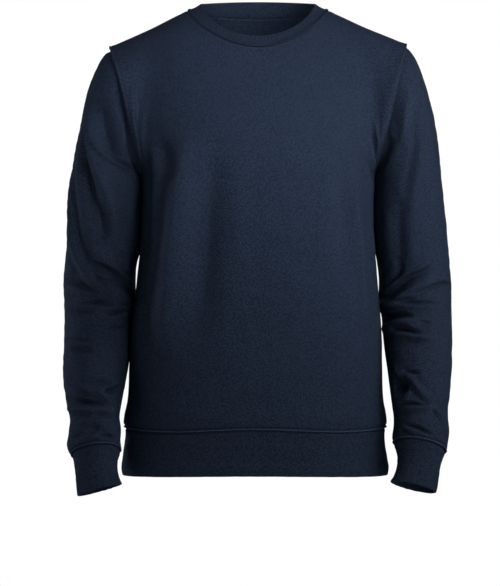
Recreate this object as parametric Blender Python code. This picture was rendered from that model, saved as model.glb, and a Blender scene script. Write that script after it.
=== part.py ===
"""A crewneck sweatshirt as it hangs on a wearer, hollow, in metres.

The origin is midway between the two points where the neckband meets the shoulder seams.
+X is the wearer's left, +Y the back of the garment and +Z up. Each cut piece of cloth is
one closed wall: front, back, two sleeves, neckband, hem band and two cuffs.
"""

from collections import namedtuple

import bmesh
import bpy
import numpy as np

# Cloth
FLEECE = 0.0021  # thickness of the body cloth
NECK_RIB = 0.0026  # a doubled rib strip
HEM_RIB = 0.0032
CUFF_RIB = 0.0030
SEAM_GAP = 0.0003  # between two pieces that are sewn together
SEAM_EASE = 0.0016  # how far the inside edge of a piece is drawn back from its seam
NAVY = (0.020, 0.028, 0.050, 1.0)
NAVY_RIB = (0.018, 0.025, 0.045, 1.0)

# Neckband. A pair is the y and z of a point on the centre line.
BAND_TOP_HALF_WIDTH = 0.0845
BAND_TOP_SIDE = 0.0085  # height of the neckband's top edge beside the neck
BAND_TOP_FRONT = (-0.0625, -0.0460)
BAND_TOP_BACK = (0.0525, 0.0180)
BAND_TOP_DIP = 1.27  # 1 is a flat edge, more is a saddle
BAND_BULGE = 0.0008  # the neckband is a little rounded from edge to edge

# The line over the shoulders where front and back meet, carried on across the neck opening.
# place is 0 at the centre line, 1 at the shoulder point and NECK_SHARE where the neckband is.
Ridge = namedtuple("Ridge", "place across up")
NECK_SHARE = 0.44
RIDGE = (
    Ridge(-0.22, -0.0525, 0.0160),
    Ridge(0.00, 0.0000, 0.0215),
    Ridge(0.22, 0.0525, 0.0160),
    Ridge(0.44, 0.1035, 0.0000),
    Ridge(0.72, 0.1635, -0.0290),
    Ridge(1.00, 0.2235, -0.0555),
)
LEFT_SHOULDER_LIFT = 0.0040  # the wearer's left shoulder is this much higher

# Body
ARMPIT_HEIGHT = -0.243
SECTION_POWER = 2.0 / 2.4  # the body's section lies between an ellipse and a rounded box

BodyRing = namedtuple("BodyRing", "height centre half_width front back")
BODY_RINGS = (
    BodyRing(-0.6950, -0.0045, 0.1985, 0.1120, 0.1060),
    BodyRing(-0.6850, -0.0045, 0.2000, 0.1135, 0.1070),
    BodyRing(-0.6670, -0.0046, 0.1978, 0.1130, 0.1065),
    BodyRing(-0.6480, -0.0046, 0.1950, 0.1135, 0.1060),
    BodyRing(-0.6270, -0.0042, 0.1932, 0.1145, 0.1065),
    BodyRing(-0.6120, -0.0040, 0.1956, 0.1185, 0.1100),
    BodyRing(-0.5850, -0.0038, 0.1912, 0.1180, 0.1100),
    BodyRing(-0.5300, -0.0034, 0.1888, 0.1180, 0.1085),
    BodyRing(-0.4780, -0.0026, 0.1868, 0.1195, 0.1070),
    BodyRing(-0.4240, -0.0014, 0.1815, 0.1225, 0.1055),
    BodyRing(-0.3800, -0.0008, 0.1770, 0.1260, 0.1070),
    BodyRing(-0.3350, -0.0008, 0.1732, 0.1300, 0.1120),
    BodyRing(-0.2900, 0.0000, 0.1722, 0.1335, 0.1180),
    BodyRing(-0.2430, 0.0010, 0.1732, 0.1350, 0.1225),
    BodyRing(-0.1950, 0.0010, 0.1750, 0.1345, 0.1235),
)

# The hem seam is level at the sides, lower at the front corners and higher at the centre.
HEM_SEAM = -0.6240
HEM_SEAM_DROP = 0.0042
HEM_SEAM_RISE = 0.0015
HEM_END = -0.6935
HEM_END_RISE = 0.0045

# A panel's columns run up from the armpit line to the ridge. A pull is the way a column
# leaves that line or meets the ridge: away from the centre line, away from the body, and up.
# Its length is how hard it pulls. neck_rise is how far up its centre column the neckline is.
Pull = namedtuple("Pull", "place across out up")
Panel = namedtuple("Panel", "name way neck_rise top_pulls armhole_pull")
ARMHOLE_SHARE = 0.60  # columns past this place turn towards the armhole at their foot
NECK_ROUNDNESS = 1.1  # 1 cuts the neckline as an ellipse, more as a deeper U
FRONT = Panel(
    name="front",
    way=-1,
    neck_rise=0.60,
    top_pulls=(
        Pull(-0.44, 0.010, -0.235, 0.070),
        Pull(0.00, 0.000, -0.225, 0.110),
        Pull(0.44, -0.010, -0.235, 0.070),
        Pull(0.72, 0.010, -0.255, 0.045),
        Pull(1.00, 0.040, -0.320, 0.055),
    ),
    armhole_pull=Pull(1.00, 0.020, 0.270, 0.100),
)
BACK = Panel(
    name="back",
    way=1,
    neck_rise=0.75,
    top_pulls=(
        Pull(-0.44, 0.010, -0.290, 0.020),
        Pull(0.00, 0.000, -0.300, -0.010),
        Pull(0.44, -0.010, -0.290, 0.020),
        Pull(0.72, 0.010, -0.280, 0.040),
        Pull(1.00, 0.040, -0.320, 0.055),
    ),
    armhole_pull=Pull(1.00, 0.020, 0.270, 0.100),
)

# Quads in a panel: across its neckline, along a shoulder, up the yoke and up the body
NECK_COLUMNS = 8
SHOULDER_COLUMNS = 6
YOKE_ROWS = 12
BODY_ROWS = 13
HEM_CROWDING = 1.35  # more than 1 draws the body's rows towards the hem

# A sleeve's rings, wrist first. across is from the middle of the body to the ring's centre,
# and the last two columns tilt the ring, in degrees.
SleeveRing = namedtuple(
    "SleeveRing", "height across forward half_width half_depth front_up inner_up"
)
RINGS_RIGHT = (
    SleeveRing(-0.7130, 0.2315, 0.0920, 0.0344, 0.0315, 8.0, 16.0),
    SleeveRing(-0.7000, 0.2350, 0.0875, 0.0322, 0.0305, 11.0, 13.0),
    SleeveRing(-0.6800, 0.2380, 0.0795, 0.0312, 0.0315, 17.0, 9.0),
    SleeveRing(-0.6580, 0.2384, 0.0715, 0.0346, 0.0360, 24.0, 6.5),
    SleeveRing(-0.6440, 0.2424, 0.0660, 0.0388, 0.0430, 23.0, 6.0),
    SleeveRing(-0.6270, 0.2414, 0.0590, 0.0382, 0.0450, 20.0, 5.0),
    SleeveRing(-0.6070, 0.2422, 0.0510, 0.0366, 0.0440, 18.0, 4.0),
    SleeveRing(-0.5900, 0.2434, 0.0440, 0.0402, 0.0470, 18.0, 4.0),
    SleeveRing(-0.5580, 0.2434, 0.0290, 0.0454, 0.0510, 18.0, 3.0),
    SleeveRing(-0.5230, 0.2416, 0.0120, 0.0489, 0.0550, 17.0, 2.0),
    SleeveRing(-0.4900, 0.2408, -0.0020, 0.0504, 0.0580, 14.0, 1.0),
    SleeveRing(-0.4600, 0.2404, -0.0120, 0.0512, 0.0600, 11.0, 1.0),
    SleeveRing(-0.4350, 0.2384, -0.0185, 0.0536, 0.0620, 8.0, 0.0),
    SleeveRing(-0.4110, 0.2388, -0.0225, 0.0536, 0.0640, 5.0, 0.0),
    SleeveRing(-0.3760, 0.2372, -0.0235, 0.0544, 0.0670, 1.0, 0.0),
    SleeveRing(-0.3550, 0.2331, -0.0220, 0.0567, 0.0685, 0.0, 0.0),
    SleeveRing(-0.3260, 0.2314, -0.0190, 0.0567, 0.0705, -2.0, 0.0),
    SleeveRing(-0.2850, 0.2286, -0.0150, 0.0558, 0.0725, -3.0, 0.0),
)
RINGS_LEFT = (
    SleeveRing(-0.7090, 0.2262, 0.0890, 0.0350, 0.0315, 13.0, 14.5),
    SleeveRing(-0.6960, 0.2315, 0.0850, 0.0328, 0.0305, 14.0, 13.0),
    SleeveRing(-0.6740, 0.2362, 0.0765, 0.0324, 0.0315, 17.0, 12.0),
    SleeveRing(-0.6500, 0.2379, 0.0675, 0.0376, 0.0380, 21.0, 11.0),
    SleeveRing(-0.6390, 0.2393, 0.0630, 0.0408, 0.0430, 21.0, 10.0),
    SleeveRing(-0.6250, 0.2416, 0.0575, 0.0412, 0.0455, 19.0, 8.0),
    SleeveRing(-0.6080, 0.2412, 0.0510, 0.0402, 0.0450, 18.0, 6.0),
    SleeveRing(-0.5930, 0.2401, 0.0450, 0.0408, 0.0470, 18.0, 5.0),
    SleeveRing(-0.5760, 0.2405, 0.0375, 0.0431, 0.0490, 18.0, 4.0),
    SleeveRing(-0.5400, 0.2414, 0.0205, 0.0477, 0.0530, 17.0, 3.0),
    SleeveRing(-0.5050, 0.2399, 0.0050, 0.0501, 0.0565, 15.0, 2.0),
    SleeveRing(-0.4700, 0.2395, -0.0085, 0.0521, 0.0590, 12.0, 1.0),
    SleeveRing(-0.4515, 0.2385, -0.0140, 0.0530, 0.0605, 10.0, 0.0),
    SleeveRing(-0.4260, 0.2372, -0.0195, 0.0544, 0.0630, 7.0, 0.0),
    SleeveRing(-0.4040, 0.2368, -0.0225, 0.0536, 0.0645, 4.0, 0.0),
    SleeveRing(-0.3760, 0.2342, -0.0235, 0.0538, 0.0670, 1.0, 0.0),
    SleeveRing(-0.3500, 0.2305, -0.0215, 0.0551, 0.0690, 0.0, 0.0),
    SleeveRing(-0.3260, 0.2287, -0.0190, 0.0551, 0.0705, -2.0, 0.0),
    SleeveRing(-0.2850, 0.2265, -0.0150, 0.0535, 0.0725, -3.0, 0.0),
)

# How a sleeve leaves the armhole, by the angle round it: -90 is the underarm, 0 the front,
# 90 the outer side and 180 the back. The first three are a direction, and length its pull.
HeadPull = namedtuple("HeadPull", "angle across forward down length")
HEAD_PULLS = (
    HeadPull(-90.0, 0.12, 0.00, 1.00, 0.050),
    HeadPull(-45.0, 0.55, 0.08, 0.83, 0.075),
    HeadPull(0.0, 0.80, 0.20, 0.55, 0.110),
    HeadPull(50.0, 0.72, 0.12, 0.68, 0.165),
    HeadPull(90.0, 0.64, 0.00, 0.77, 0.180),
    HeadPull(130.0, 0.72, -0.12, 0.68, 0.165),
    HeadPull(180.0, 0.80, -0.20, 0.55, 0.110),
    HeadPull(225.0, 0.55, -0.08, 0.83, 0.075),
    HeadPull(270.0, 0.12, 0.00, 1.00, 0.050),
)
HEAD_FOOT = -0.300  # height of the ring where the sleeve's head ends

# Quads down a sleeve, closer together where it creases: at the elbow and above the cuff
HEAD_ROWS = 9
RowBand = namedtuple("RowBand", "until rows")
SLEEVE_BANDS = (RowBand(-0.352, 3), RowBand(-0.490, 13), RowBand(-0.556, 4))
LOWER_SLEEVE_ROWS = 9

Sleeve = namedtuple("Sleeve", "name side rings cuff_seam cuff_end")
RIGHT = Sleeve("right", -1, RINGS_RIGHT, -0.6580, -0.7100)
LEFT = Sleeve("left", 1, RINGS_LEFT, -0.6500, -0.7060)

# The largest folds. Each runs from one end to the other, bowed up by bow at its middle.
# depth sinks the cloth and a negative depth lifts it. On a panel across is the distance from
# the centre line. On a sleeve it is the angle round it, in degrees, as in HEAD_PULLS.
Fold = namedtuple("Fold", "across_1 height_1 across_2 height_2 bow width depth")
FRONT_FOLDS = (
    Fold(0.146, -0.214, 0.168, -0.244, 0.000, 0.006, 0.0035),
    Fold(0.128, -0.225, 0.146, -0.360, 0.004, 0.012, -0.0030),
    Fold(-0.124, -0.215, -0.128, -0.330, 0.004, 0.013, -0.0030),
    Fold(-0.128, -0.310, -0.156, -0.400, 0.000, 0.012, -0.0025),
    Fold(-0.150, -0.205, -0.162, -0.300, 0.000, 0.010, 0.0035),
    Fold(-0.168, -0.115, -0.176, -0.190, 0.000, 0.012, 0.0025),
    Fold(-0.120, -0.600, 0.010, -0.592, -0.004, 0.012, 0.0015),
    Fold(0.050, -0.596, 0.150, -0.604, -0.004, 0.012, 0.0015),
)
BACK_FOLDS = (
    Fold(-0.150, -0.440, 0.020, -0.470, -0.012, 0.012, 0.0045),
    Fold(-0.040, -0.425, 0.150, -0.448, -0.010, 0.011, 0.0040),
    Fold(-0.125, -0.505, 0.060, -0.515, -0.014, 0.013, 0.0040),
    Fold(0.030, -0.490, 0.160, -0.520, -0.008, 0.011, 0.0035),
    Fold(-0.160, -0.560, -0.020, -0.572, -0.008, 0.012, 0.0030),
    Fold(0.020, -0.580, 0.150, -0.565, -0.008, 0.012, 0.0030),
    Fold(-0.165, -0.235, -0.105, -0.330, 0.006, 0.012, 0.0040),
    Fold(0.165, -0.240, 0.110, -0.320, 0.006, 0.011, 0.0040),
    Fold(-0.070, -0.110, -0.085, -0.270, 0.010, 0.020, -0.0025),
    Fold(0.072, -0.105, 0.088, -0.265, -0.010, 0.020, -0.0025),
)
SLEEVE_FOLDS_RIGHT = (
    Fold(18.0, -0.374, -75.0, -0.414, 0.006, 0.0085, 0.0062),
    Fold(64.0, -0.404, -2.0, -0.424, 0.002, 0.0070, 0.0042),
    Fold(28.0, -0.4385, -30.0, -0.4375, 0.001, 0.0060, 0.0040),
    Fold(66.0, -0.447, 8.0, -0.4545, 0.000, 0.0060, 0.0030),
    Fold(-15.0, -0.470, -62.0, -0.4685, 0.000, 0.0060, 0.0030),
    Fold(26.0, -0.558, -26.0, -0.550, -0.002, 0.0065, 0.0028),
    Fold(62.0, -0.579, -24.0, -0.589, -0.001, 0.0085, 0.0052),
    Fold(10.0, -0.602, -48.0, -0.602, -0.001, 0.0055, 0.0032),
    Fold(92.0, -0.608, -14.0, -0.622, -0.001, 0.0075, 0.0048),
    Fold(70.0, -0.641, 20.0, -0.639, 0.000, 0.0050, 0.0028),
    Fold(-12.0, -0.632, -55.0, -0.6365, 0.000, 0.0050, 0.0030),
    Fold(52.0, -0.150, 36.0, -0.225, 0.004, 0.0120, 0.0032),
    Fold(30.0, -0.265, 8.0, -0.322, 0.003, 0.0120, 0.0030),
    Fold(-140.0, -0.440, -95.0, -0.422, 0.002, 0.0080, 0.0045),
    Fold(150.0, -0.395, 215.0, -0.372, 0.004, 0.0090, 0.0035),
    Fold(120.0, -0.480, 200.0, -0.470, -0.004, 0.0090, 0.0035),
    Fold(110.0, -0.588, 190.0, -0.597, 0.003, 0.0080, 0.0045),
    Fold(150.0, -0.620, 250.0, -0.634, 0.002, 0.0070, 0.0042),
)
SLEEVE_FOLDS_LEFT = (
    Fold(-82.0, -0.424, 34.0, -0.382, 0.005, 0.0085, 0.0066),
    Fold(-26.0, -0.436, 84.0, -0.411, 0.009, 0.0070, 0.0040),
    Fold(-20.0, -0.437, 42.0, -0.4385, 0.001, 0.0060, 0.0030),
    Fold(-95.0, -0.452, -4.0, -0.460, 0.000, 0.0090, 0.0066),
    Fold(-45.0, -0.478, 28.0, -0.470, 0.001, 0.0065, 0.0042),
    Fold(-32.0, -0.495, 30.0, -0.494, 0.000, 0.0060, 0.0022),
    Fold(-50.0, -0.535, -34.0, -0.576, 0.000, 0.0110, 0.0052),
    Fold(-42.0, -0.5845, 14.0, -0.5845, -0.001, 0.0060, 0.0042),
    Fold(20.0, -0.590, 54.0, -0.620, 0.003, 0.0065, 0.0042),
    Fold(-8.0, -0.620, 26.0, -0.633, 0.002, 0.0055, 0.0036),
    Fold(-60.0, -0.6345, -2.0, -0.635, 0.000, 0.0055, 0.0044),
    Fold(-12.0, -0.150, 4.0, -0.265, 0.000, 0.0130, -0.0030),
    Fold(28.0, -0.150, 40.0, -0.270, 0.000, 0.0130, 0.0030),
    Fold(-150.0, -0.448, -98.0, -0.430, 0.002, 0.0080, 0.0045),
    Fold(140.0, -0.392, 205.0, -0.376, 0.004, 0.0090, 0.0035),
    Fold(125.0, -0.470, 205.0, -0.484, -0.003, 0.0090, 0.0035),
    Fold(105.0, -0.580, 185.0, -0.592, 0.003, 0.0080, 0.0045),
    Fold(145.0, -0.614, 240.0, -0.628, 0.002, 0.0070, 0.0042),
)
SLEEVE_RADIUS = 0.055  # turns an angle round a sleeve into a distance
CREST_SHARE = 0.45  # height of the soft crest beside a fold, as a share of its depth
CREST_PLACE = 1.7  # its distance from the fold's line, in widths
EDGE_CALM = 0.07  # share of a piece next to its edges where the folds die out


def smooth(rows, field, at, key="height"):
    """One column of a table, read at the given places off a smooth curve through its rows."""
    places = np.array([getattr(row, key) for row in rows])
    values = np.array([getattr(row, field) for row in rows])
    slopes = np.gradient(values, places)
    at = np.clip(at, places[0], places[-1])
    low = np.clip(np.searchsorted(places, at) - 1, 0, len(places) - 2)
    span = places[low + 1] - places[low]
    share = (at - places[low]) / span
    return hermite(values[low], slopes[low] * span, values[low + 1], slopes[low + 1] * span, share)


def hermite(start, leave, end, arrive, share):
    """A cubic curve from start to end, with its slopes at both ends."""
    return (
        (1 + 2 * share) * (1 - share) ** 2 * start
        + share * (1 - share) ** 2 * leave
        + share**2 * (3 - 2 * share) * end
        + share**2 * (share - 1) * arrive
    )


def ease(share):
    """A smooth rise from 0 to 1."""
    share = np.clip(share, 0, 1)
    return share * share * (3 - 2 * share)


def blend(first, second, share):
    return first + (second - first) * share


def xyz(x, y, z):
    return np.stack(np.broadcast_arrays(x, y, z), axis=-1)


def unit(vectors):
    return vectors / np.maximum(np.linalg.norm(vectors, axis=-1, keepdims=True), 1e-12)


def section_turn(share):
    """The angle round the body's section at a share of its outline from centre to side."""
    turns = np.linspace(0, np.pi / 2, 500)
    x = 0.180 * np.sin(turns) ** SECTION_POWER
    y = 0.120 * np.cos(turns) ** SECTION_POWER
    length = np.append(0, np.cumsum(np.hypot(np.diff(x), np.diff(y))))
    return np.interp(share, length / length[-1], turns)


def body_ring(panel, place, height):
    """Points on the body at a height. place runs from -1 at one side seam to 1 at the other."""
    turn = section_turn(np.abs(place))
    half_width = smooth(BODY_RINGS, "half_width", height)
    depth = smooth(BODY_RINGS, panel.name, height)
    centre = smooth(BODY_RINGS, "centre", height)
    x = centre + np.sign(place) * half_width * np.sin(turn) ** SECTION_POWER
    y = panel.way * depth * np.maximum(np.cos(turn), 0) ** SECTION_POWER
    return xyz(x, y, height)


def pull_vectors(panel, place, across, out, up):
    return xyz(np.where(place < 0, -1, 1) * across, panel.way * out, up)


def ridge(place):
    """The line over the shoulders, on both sides of the neck."""
    share = np.abs(place)
    lift = LEFT_SHOULDER_LIFT * ease((place - NECK_SHARE) / (1 - NECK_SHARE))
    across = smooth(RIDGE, "across", share, key="place") * np.where(place < 0, -1, 1)
    return xyz(across, 0, smooth(RIDGE, "up", share, key="place") + lift)


def yoke(panel, place, rise):
    """The cloth above the armpit line, at a share of the way up to the ridge."""
    share = np.abs(place)
    foot = body_ring(panel, place, ARMPIT_HEIGHT)
    top = ridge(place)
    step = 0.001
    slope = (body_ring(panel, place, ARMPIT_HEIGHT + step) - foot) / step
    straight = slope * (top[..., 2:] - foot[..., 2:])
    pull = panel.armhole_pull
    turned = pull_vectors(panel, place, pull.across, pull.out, pull.up)
    turning = ease((share - ARMHOLE_SHARE) / (1 - ARMHOLE_SHARE))[..., None] ** 2
    leave = blend(straight, turned, turning)
    pulls = [
        smooth(panel.top_pulls, field, share, key="place") for field in ("across", "out", "up")
    ]
    arrive = pull_vectors(panel, place, *pulls)
    return hermite(foot, leave, top, arrive, rise[..., None])


def neck_cut(panel, turn):
    """Where the neckline runs on the yoke: its place and rise, at a turn from the centre."""
    place = NECK_SHARE * np.sin(turn)
    rise = 1 - (1 - panel.neck_rise) * np.maximum(np.cos(turn), 0) ** NECK_ROUNDNESS
    return place, rise


def neckline(panel, turn):
    return yoke(panel, *neck_cut(panel, turn))


def hem_seam(place):
    drop = HEM_SEAM_DROP * np.sin(np.pi * place) ** 2
    return HEM_SEAM - drop + HEM_SEAM_RISE * np.cos(place * np.pi / 2) ** 2


def hem_end(place):
    return HEM_END + HEM_END_RISE * np.cos(place * np.pi / 2) ** 2


def panel_places():
    """Places of a panel's columns, from side seam to side seam."""
    neck = np.linspace(0, NECK_SHARE, NECK_COLUMNS + 1)
    shoulder = np.linspace(NECK_SHARE, 1, SHOULDER_COLUMNS + 1)[1:]
    half = np.concatenate([neck, shoulder])
    return np.concatenate([-half[:0:-1], half])


def panel_points(panel):
    """The panel's outer face, a row of points for each level from hem seam to neck."""
    place = panel_places()
    level = np.linspace(0, 1, BODY_ROWS + 1)[:-1, None] ** HEM_CROWDING
    lower = body_ring(panel, place, blend(hem_seam(place), ARMPIT_HEIGHT, level))
    turn = place / NECK_SHARE * np.pi / 2
    on_neck = np.abs(place) <= NECK_SHARE
    neck_place, neck_rise = neck_cut(panel, turn)
    top_place = np.where(on_neck, neck_place, place)
    top_rise = np.where(on_neck, neck_rise, 1.0)
    level = np.linspace(0, 1, YOKE_ROWS + 1)[:, None]
    upper = yoke(panel, blend(place, top_place, level**2), top_rise * level)
    return np.concatenate([lower, upper])


def sleeve_ring(sleeve, angle, height):
    """Points on a sleeve or cuff ring, by the angle round it in degrees."""
    field = {name: smooth(sleeve.rings, name, height) for name in SleeveRing._fields[1:]}
    turn, front_up, inner_up = (
        np.radians(value) for value in (angle, field["front_up"], field["inner_up"])
    )
    out = field["half_width"] * np.sin(turn)
    ahead = field["half_depth"] * np.cos(turn)
    return xyz(
        sleeve.side * (field["across"] + out * np.cos(inner_up)),
        -(field["forward"] + ahead * np.cos(front_up)),
        height + ahead * np.sin(front_up) - out * np.sin(inner_up),
    )


def armhole(sleeve):
    """The armhole seam: from the underarm up the front and down the back to where it began."""
    rise = np.linspace(0, 1, YOKE_ROWS + 1)
    place = np.full(YOKE_ROWS + 1, float(sleeve.side))
    front = yoke(FRONT, place, rise)
    back = yoke(BACK, place, rise)
    return np.concatenate([front, back[-2::-1]])


def sleeve_angles():
    return np.linspace(-90, 270, 2 * YOKE_ROWS + 1)


def sleeve_head(sleeve):
    """The rows from the armhole to the first full ring."""
    angle = sleeve_angles()
    start = armhole(sleeve)
    end = sleeve_ring(sleeve, angle, HEAD_FOOT)
    away = [smooth(HEAD_PULLS, field, angle, key="angle") for field in HeadPull._fields[1:]]
    leave = xyz(sleeve.side * away[0], -away[1], -away[2]) * away[3][:, None]
    step = 0.001
    slope = (sleeve_ring(sleeve, angle, HEAD_FOOT - step) - end) / step
    arrive = slope * np.linalg.norm(end - start, axis=-1)[:, None]
    share = np.linspace(0, 1, HEAD_ROWS + 1)[:-1, None, None]
    return hermite(start, leave, end, arrive, share)


def sleeve_heights(sleeve):
    heights = [HEAD_FOOT]
    for band in (*SLEEVE_BANDS, RowBand(sleeve.cuff_seam, LOWER_SLEEVE_ROWS)):
        heights.extend(np.linspace(heights[-1], band.until, band.rows + 1)[1:])
    return np.array(heights)


def sleeve_points(sleeve):
    angle = sleeve_angles()
    rings = sleeve_ring(sleeve, angle[None, :], sleeve_heights(sleeve)[:, None])
    return np.concatenate([sleeve_head(sleeve), rings])


def normals(points, tube, side=1):
    """The way out of a face, at each of its points. A tube's first and last columns meet."""
    if tube:
        wide = np.concatenate([points[:, -2:-1], points, points[:, 1:2]], axis=1)
        along_row = (wide[:, 2:] - wide[:, :-2]) / 2
    else:
        along_row = np.gradient(points, axis=1)
    return side * unit(np.cross(along_row, np.gradient(points, axis=0)))


def relief(folds, across, height):
    """How far the folds move the cloth out, at each point of a face."""
    total = np.zeros(np.broadcast(across, height).shape)
    for fold in folds:
        line = np.array([fold.across_2 - fold.across_1, fold.height_2 - fold.height_1])
        length = np.hypot(*line)
        from_start = (across - fold.across_1, height - fold.height_1)
        share = (from_start[0] * line[0] + from_start[1] * line[1]) / length**2
        inside = np.clip(share, 0, 1)
        beside = (from_start[1] * line[0] - from_start[0] * line[1]) / length * np.sign(line[0])
        beside = beside - fold.bow * 4 * inside * (1 - inside)
        gap = np.hypot(beside, (share - inside) * length) / fold.width
        crest = CREST_SHARE * np.exp(-((gap - CREST_PLACE) ** 2))
        total -= fold.depth * (np.exp(-(gap**2)) - crest) * np.sin(np.pi * inside) ** 0.7
    return total


def calm(count, first, last):
    """A weight for each row or column that fades to 0 at the ends that are asked for."""
    share = np.linspace(0, 1, count)
    weight = np.ones(count)
    if first:
        weight = weight * ease(share / EDGE_CALM)
    if last:
        weight = weight * ease((1 - share) / EDGE_CALM)
    return weight


def folded_panel(panel, folds):
    points = panel_points(panel)
    rows, columns = points.shape[:2]
    lift = relief(folds, points[..., 0], points[..., 2])
    lift *= calm(rows, True, True)[:, None] * calm(columns, True, True)[None, :]
    return points + normals(points, False, -panel.way) * lift[..., None]


def folded_sleeve(sleeve, folds):
    points = sleeve_points(sleeve)
    angle = np.broadcast_to(sleeve_angles(), points.shape[:2])
    lift = np.zeros(points.shape[:2])
    for fold in folds:
        middle = (fold.across_1 + fold.across_2) / 2
        near = (angle - middle + 180) % 360 - 180 + middle
        metres = fold._replace(
            across_1=np.radians(fold.across_1) * SLEEVE_RADIUS,
            across_2=np.radians(fold.across_2) * SLEEVE_RADIUS,
        )
        lift += relief((metres,), np.radians(near) * SLEEVE_RADIUS, points[..., 2])
    lift *= calm(len(points), True, True)[:, None]
    return points + normals(points, True, -sleeve.side) * lift[..., None]


def draw_back(points, distance, tube):
    """Moves a face's edges in by a distance, towards the row or column beside them."""
    moved = points.copy()
    moved[0] += unit(points[1] - points[0]) * distance
    moved[-1] += unit(points[-2] - points[-1]) * distance
    if not tube:
        moved[:, 0] += unit(points[:, 1] - points[:, 0]) * distance
        moved[:, -1] += unit(points[:, -2] - points[:, -1]) * distance
    return moved


def cloth_faces(points, thickness, tube, side):
    """The outer and inner face of a piece, short of its seams by half the gap between pieces."""
    outer = draw_back(points, SEAM_GAP / 2, tube)
    inner = draw_back(points - normals(points, tube, side) * thickness, SEAM_EASE, tube)
    return outer, inner


def fold_row(outer, inner, last):
    """The crown of a doubled strip's folded edge, half way through its thickness."""
    edge, before = (-1, -2) if last else (0, 1)
    middle = (outer[edge] + inner[edge]) / 2
    depth = np.linalg.norm(outer[edge] - inner[edge], axis=-1, keepdims=True) / 2
    return middle + unit(outer[edge] - outer[before]) * depth


def lay_grid(bm, points):
    """A sheet of quads with one vertex for each point of a table of rows and columns."""
    rows, columns = points.shape[:2]
    sheet = bmesh.ops.create_grid(bm, x_segments=columns - 1, y_segments=rows - 1, size=1.0)
    for vertex, point in zip(sheet["verts"], points.reshape(-1, 3)):
        vertex.co = point
    return np.array(sheet["verts"]).reshape(rows, columns)


def edge_loop(sheet):
    """A sheet's outermost vertices, in order round it."""
    return [*sheet[0, :-1], *sheet[:-1, -1], *sheet[-1, :0:-1], *sheet[:0:-1, 0]]


def finish(bm, name, material, collection):
    bmesh.ops.recalc_face_normals(bm, faces=bm.faces)
    bmesh.ops.triangulate(bm, faces=bm.faces, quad_method="SHORT_EDGE")
    mesh = bpy.data.meshes.new(name)
    bm.to_mesh(mesh)
    bm.free()
    mesh.materials.append(material)
    mesh.shade_smooth()
    mesh.set_sharp_from_angle(angle=np.radians(50))
    made = bpy.data.objects.new(name, mesh)
    collection.objects.link(made)
    return made


def flat_piece(name, outer, inner, material, collection):
    """A panel: two sheets, joined by a rim round their edges."""
    bm = bmesh.new()
    outer_loop = edge_loop(lay_grid(bm, outer))
    inner_loop = edge_loop(lay_grid(bm, inner))
    for i in range(len(outer_loop)):
        bm.faces.new((outer_loop[i - 1], outer_loop[i], inner_loop[i], inner_loop[i - 1]))
    return finish(bm, name, material, collection)


def tube_piece(name, rows, material, collection):
    """A sleeve or band: one sheet that runs down the outside and back up the inside."""
    bm = bmesh.new()
    lay_grid(bm, np.stack([*rows, rows[0]]))
    bmesh.ops.remove_doubles(bm, verts=bm.verts, dist=0.00001)
    return finish(bm, name, material, collection)


def build_panel(panel, folds, material, collection):
    points = folded_panel(panel, folds)
    outer, inner = cloth_faces(points, FLEECE, False, -panel.way)
    flat_piece(panel.name, outer, inner, material, collection)


def build_sleeve(sleeve, folds, material, collection):
    points = folded_sleeve(sleeve, folds)
    outer, inner = cloth_faces(points, FLEECE, True, -sleeve.side)
    rows = [*outer, *inner[::-1]]
    tube_piece("sleeve_" + sleeve.name, rows, material, collection)


def build_cuff(sleeve, material, collection):
    share = np.array([0.0, 0.25, 0.55, 0.85, 1.0])
    heights = blend(sleeve.cuff_seam, sleeve.cuff_end, share)
    points = sleeve_ring(sleeve, sleeve_angles()[None, :], heights[:, None])
    outer, inner = cloth_faces(points, CUFF_RIB, True, -sleeve.side)
    rows = [*outer, fold_row(outer, inner, True), *inner[::-1]]
    tube_piece("cuff_" + sleeve.name, rows, material, collection)


def round_the_body(row_of):
    """One loop round the body: the front from side to side, then the back and home again."""
    places = panel_places()
    return np.concatenate([row_of(FRONT, places), row_of(BACK, places[-2::-1])])


def build_hem_band(material, collection):
    rows = []
    for share in (0.0, 0.3, 0.6, 0.85, 0.96, 1.0):

        def row(panel, places, share=share):
            return body_ring(panel, places, blend(hem_seam(places), hem_end(places), share))

        rows.append(round_the_body(row))
    outer, inner = cloth_faces(np.array(rows), HEM_RIB, True, -1)
    tube_piece(
        "hem_band", [*outer, fold_row(outer, inner, True), *inner[::-1]], material, collection
    )


def band_top(panel, turn):
    """The neckband's top edge."""
    far_y, far_z = BAND_TOP_FRONT if panel is FRONT else BAND_TOP_BACK
    dip = np.maximum(np.cos(turn), 0)
    z = blend(BAND_TOP_SIDE, far_z, dip**BAND_TOP_DIP)
    return xyz(BAND_TOP_HALF_WIDTH * np.sin(turn), far_y * dip, z)


def build_neckband(material, collection):
    quarter = np.linspace(-1, 1, 2 * NECK_COLUMNS + 1) * np.pi / 2

    def loop(edge):
        return np.concatenate([edge(FRONT, quarter), edge(BACK, quarter[-2::-1])])

    seam, top = loop(neckline), loop(band_top)
    points = np.array([blend(seam, top, share) for share in (0.0, 0.3, 0.7, 1.0)])
    bulge = np.array([0.0, BAND_BULGE, BAND_BULGE, 0.0])[:, None, None]
    points = points + normals(points, True, -1) * bulge
    outer, inner = cloth_faces(points, NECK_RIB, True, -1)
    tube_piece(
        "neckband", [*outer, fold_row(outer, inner, True), *inner[::-1]], material, collection
    )


def knit(name, colour):
    material = bpy.data.materials.new(name)
    material.use_nodes = True
    shader = material.node_tree.nodes["Principled BSDF"]
    shader.inputs["Base Color"].default_value = colour
    shader.inputs["Roughness"].default_value = 0.95
    shader.inputs["Metallic"].default_value = 0.0
    material.diffuse_color = colour
    return material


for old in list(bpy.data.objects):
    bpy.data.objects.remove(old)
garment = bpy.data.collections.new("crewneck_sweatshirt")
bpy.context.scene.collection.children.link(garment)

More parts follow.
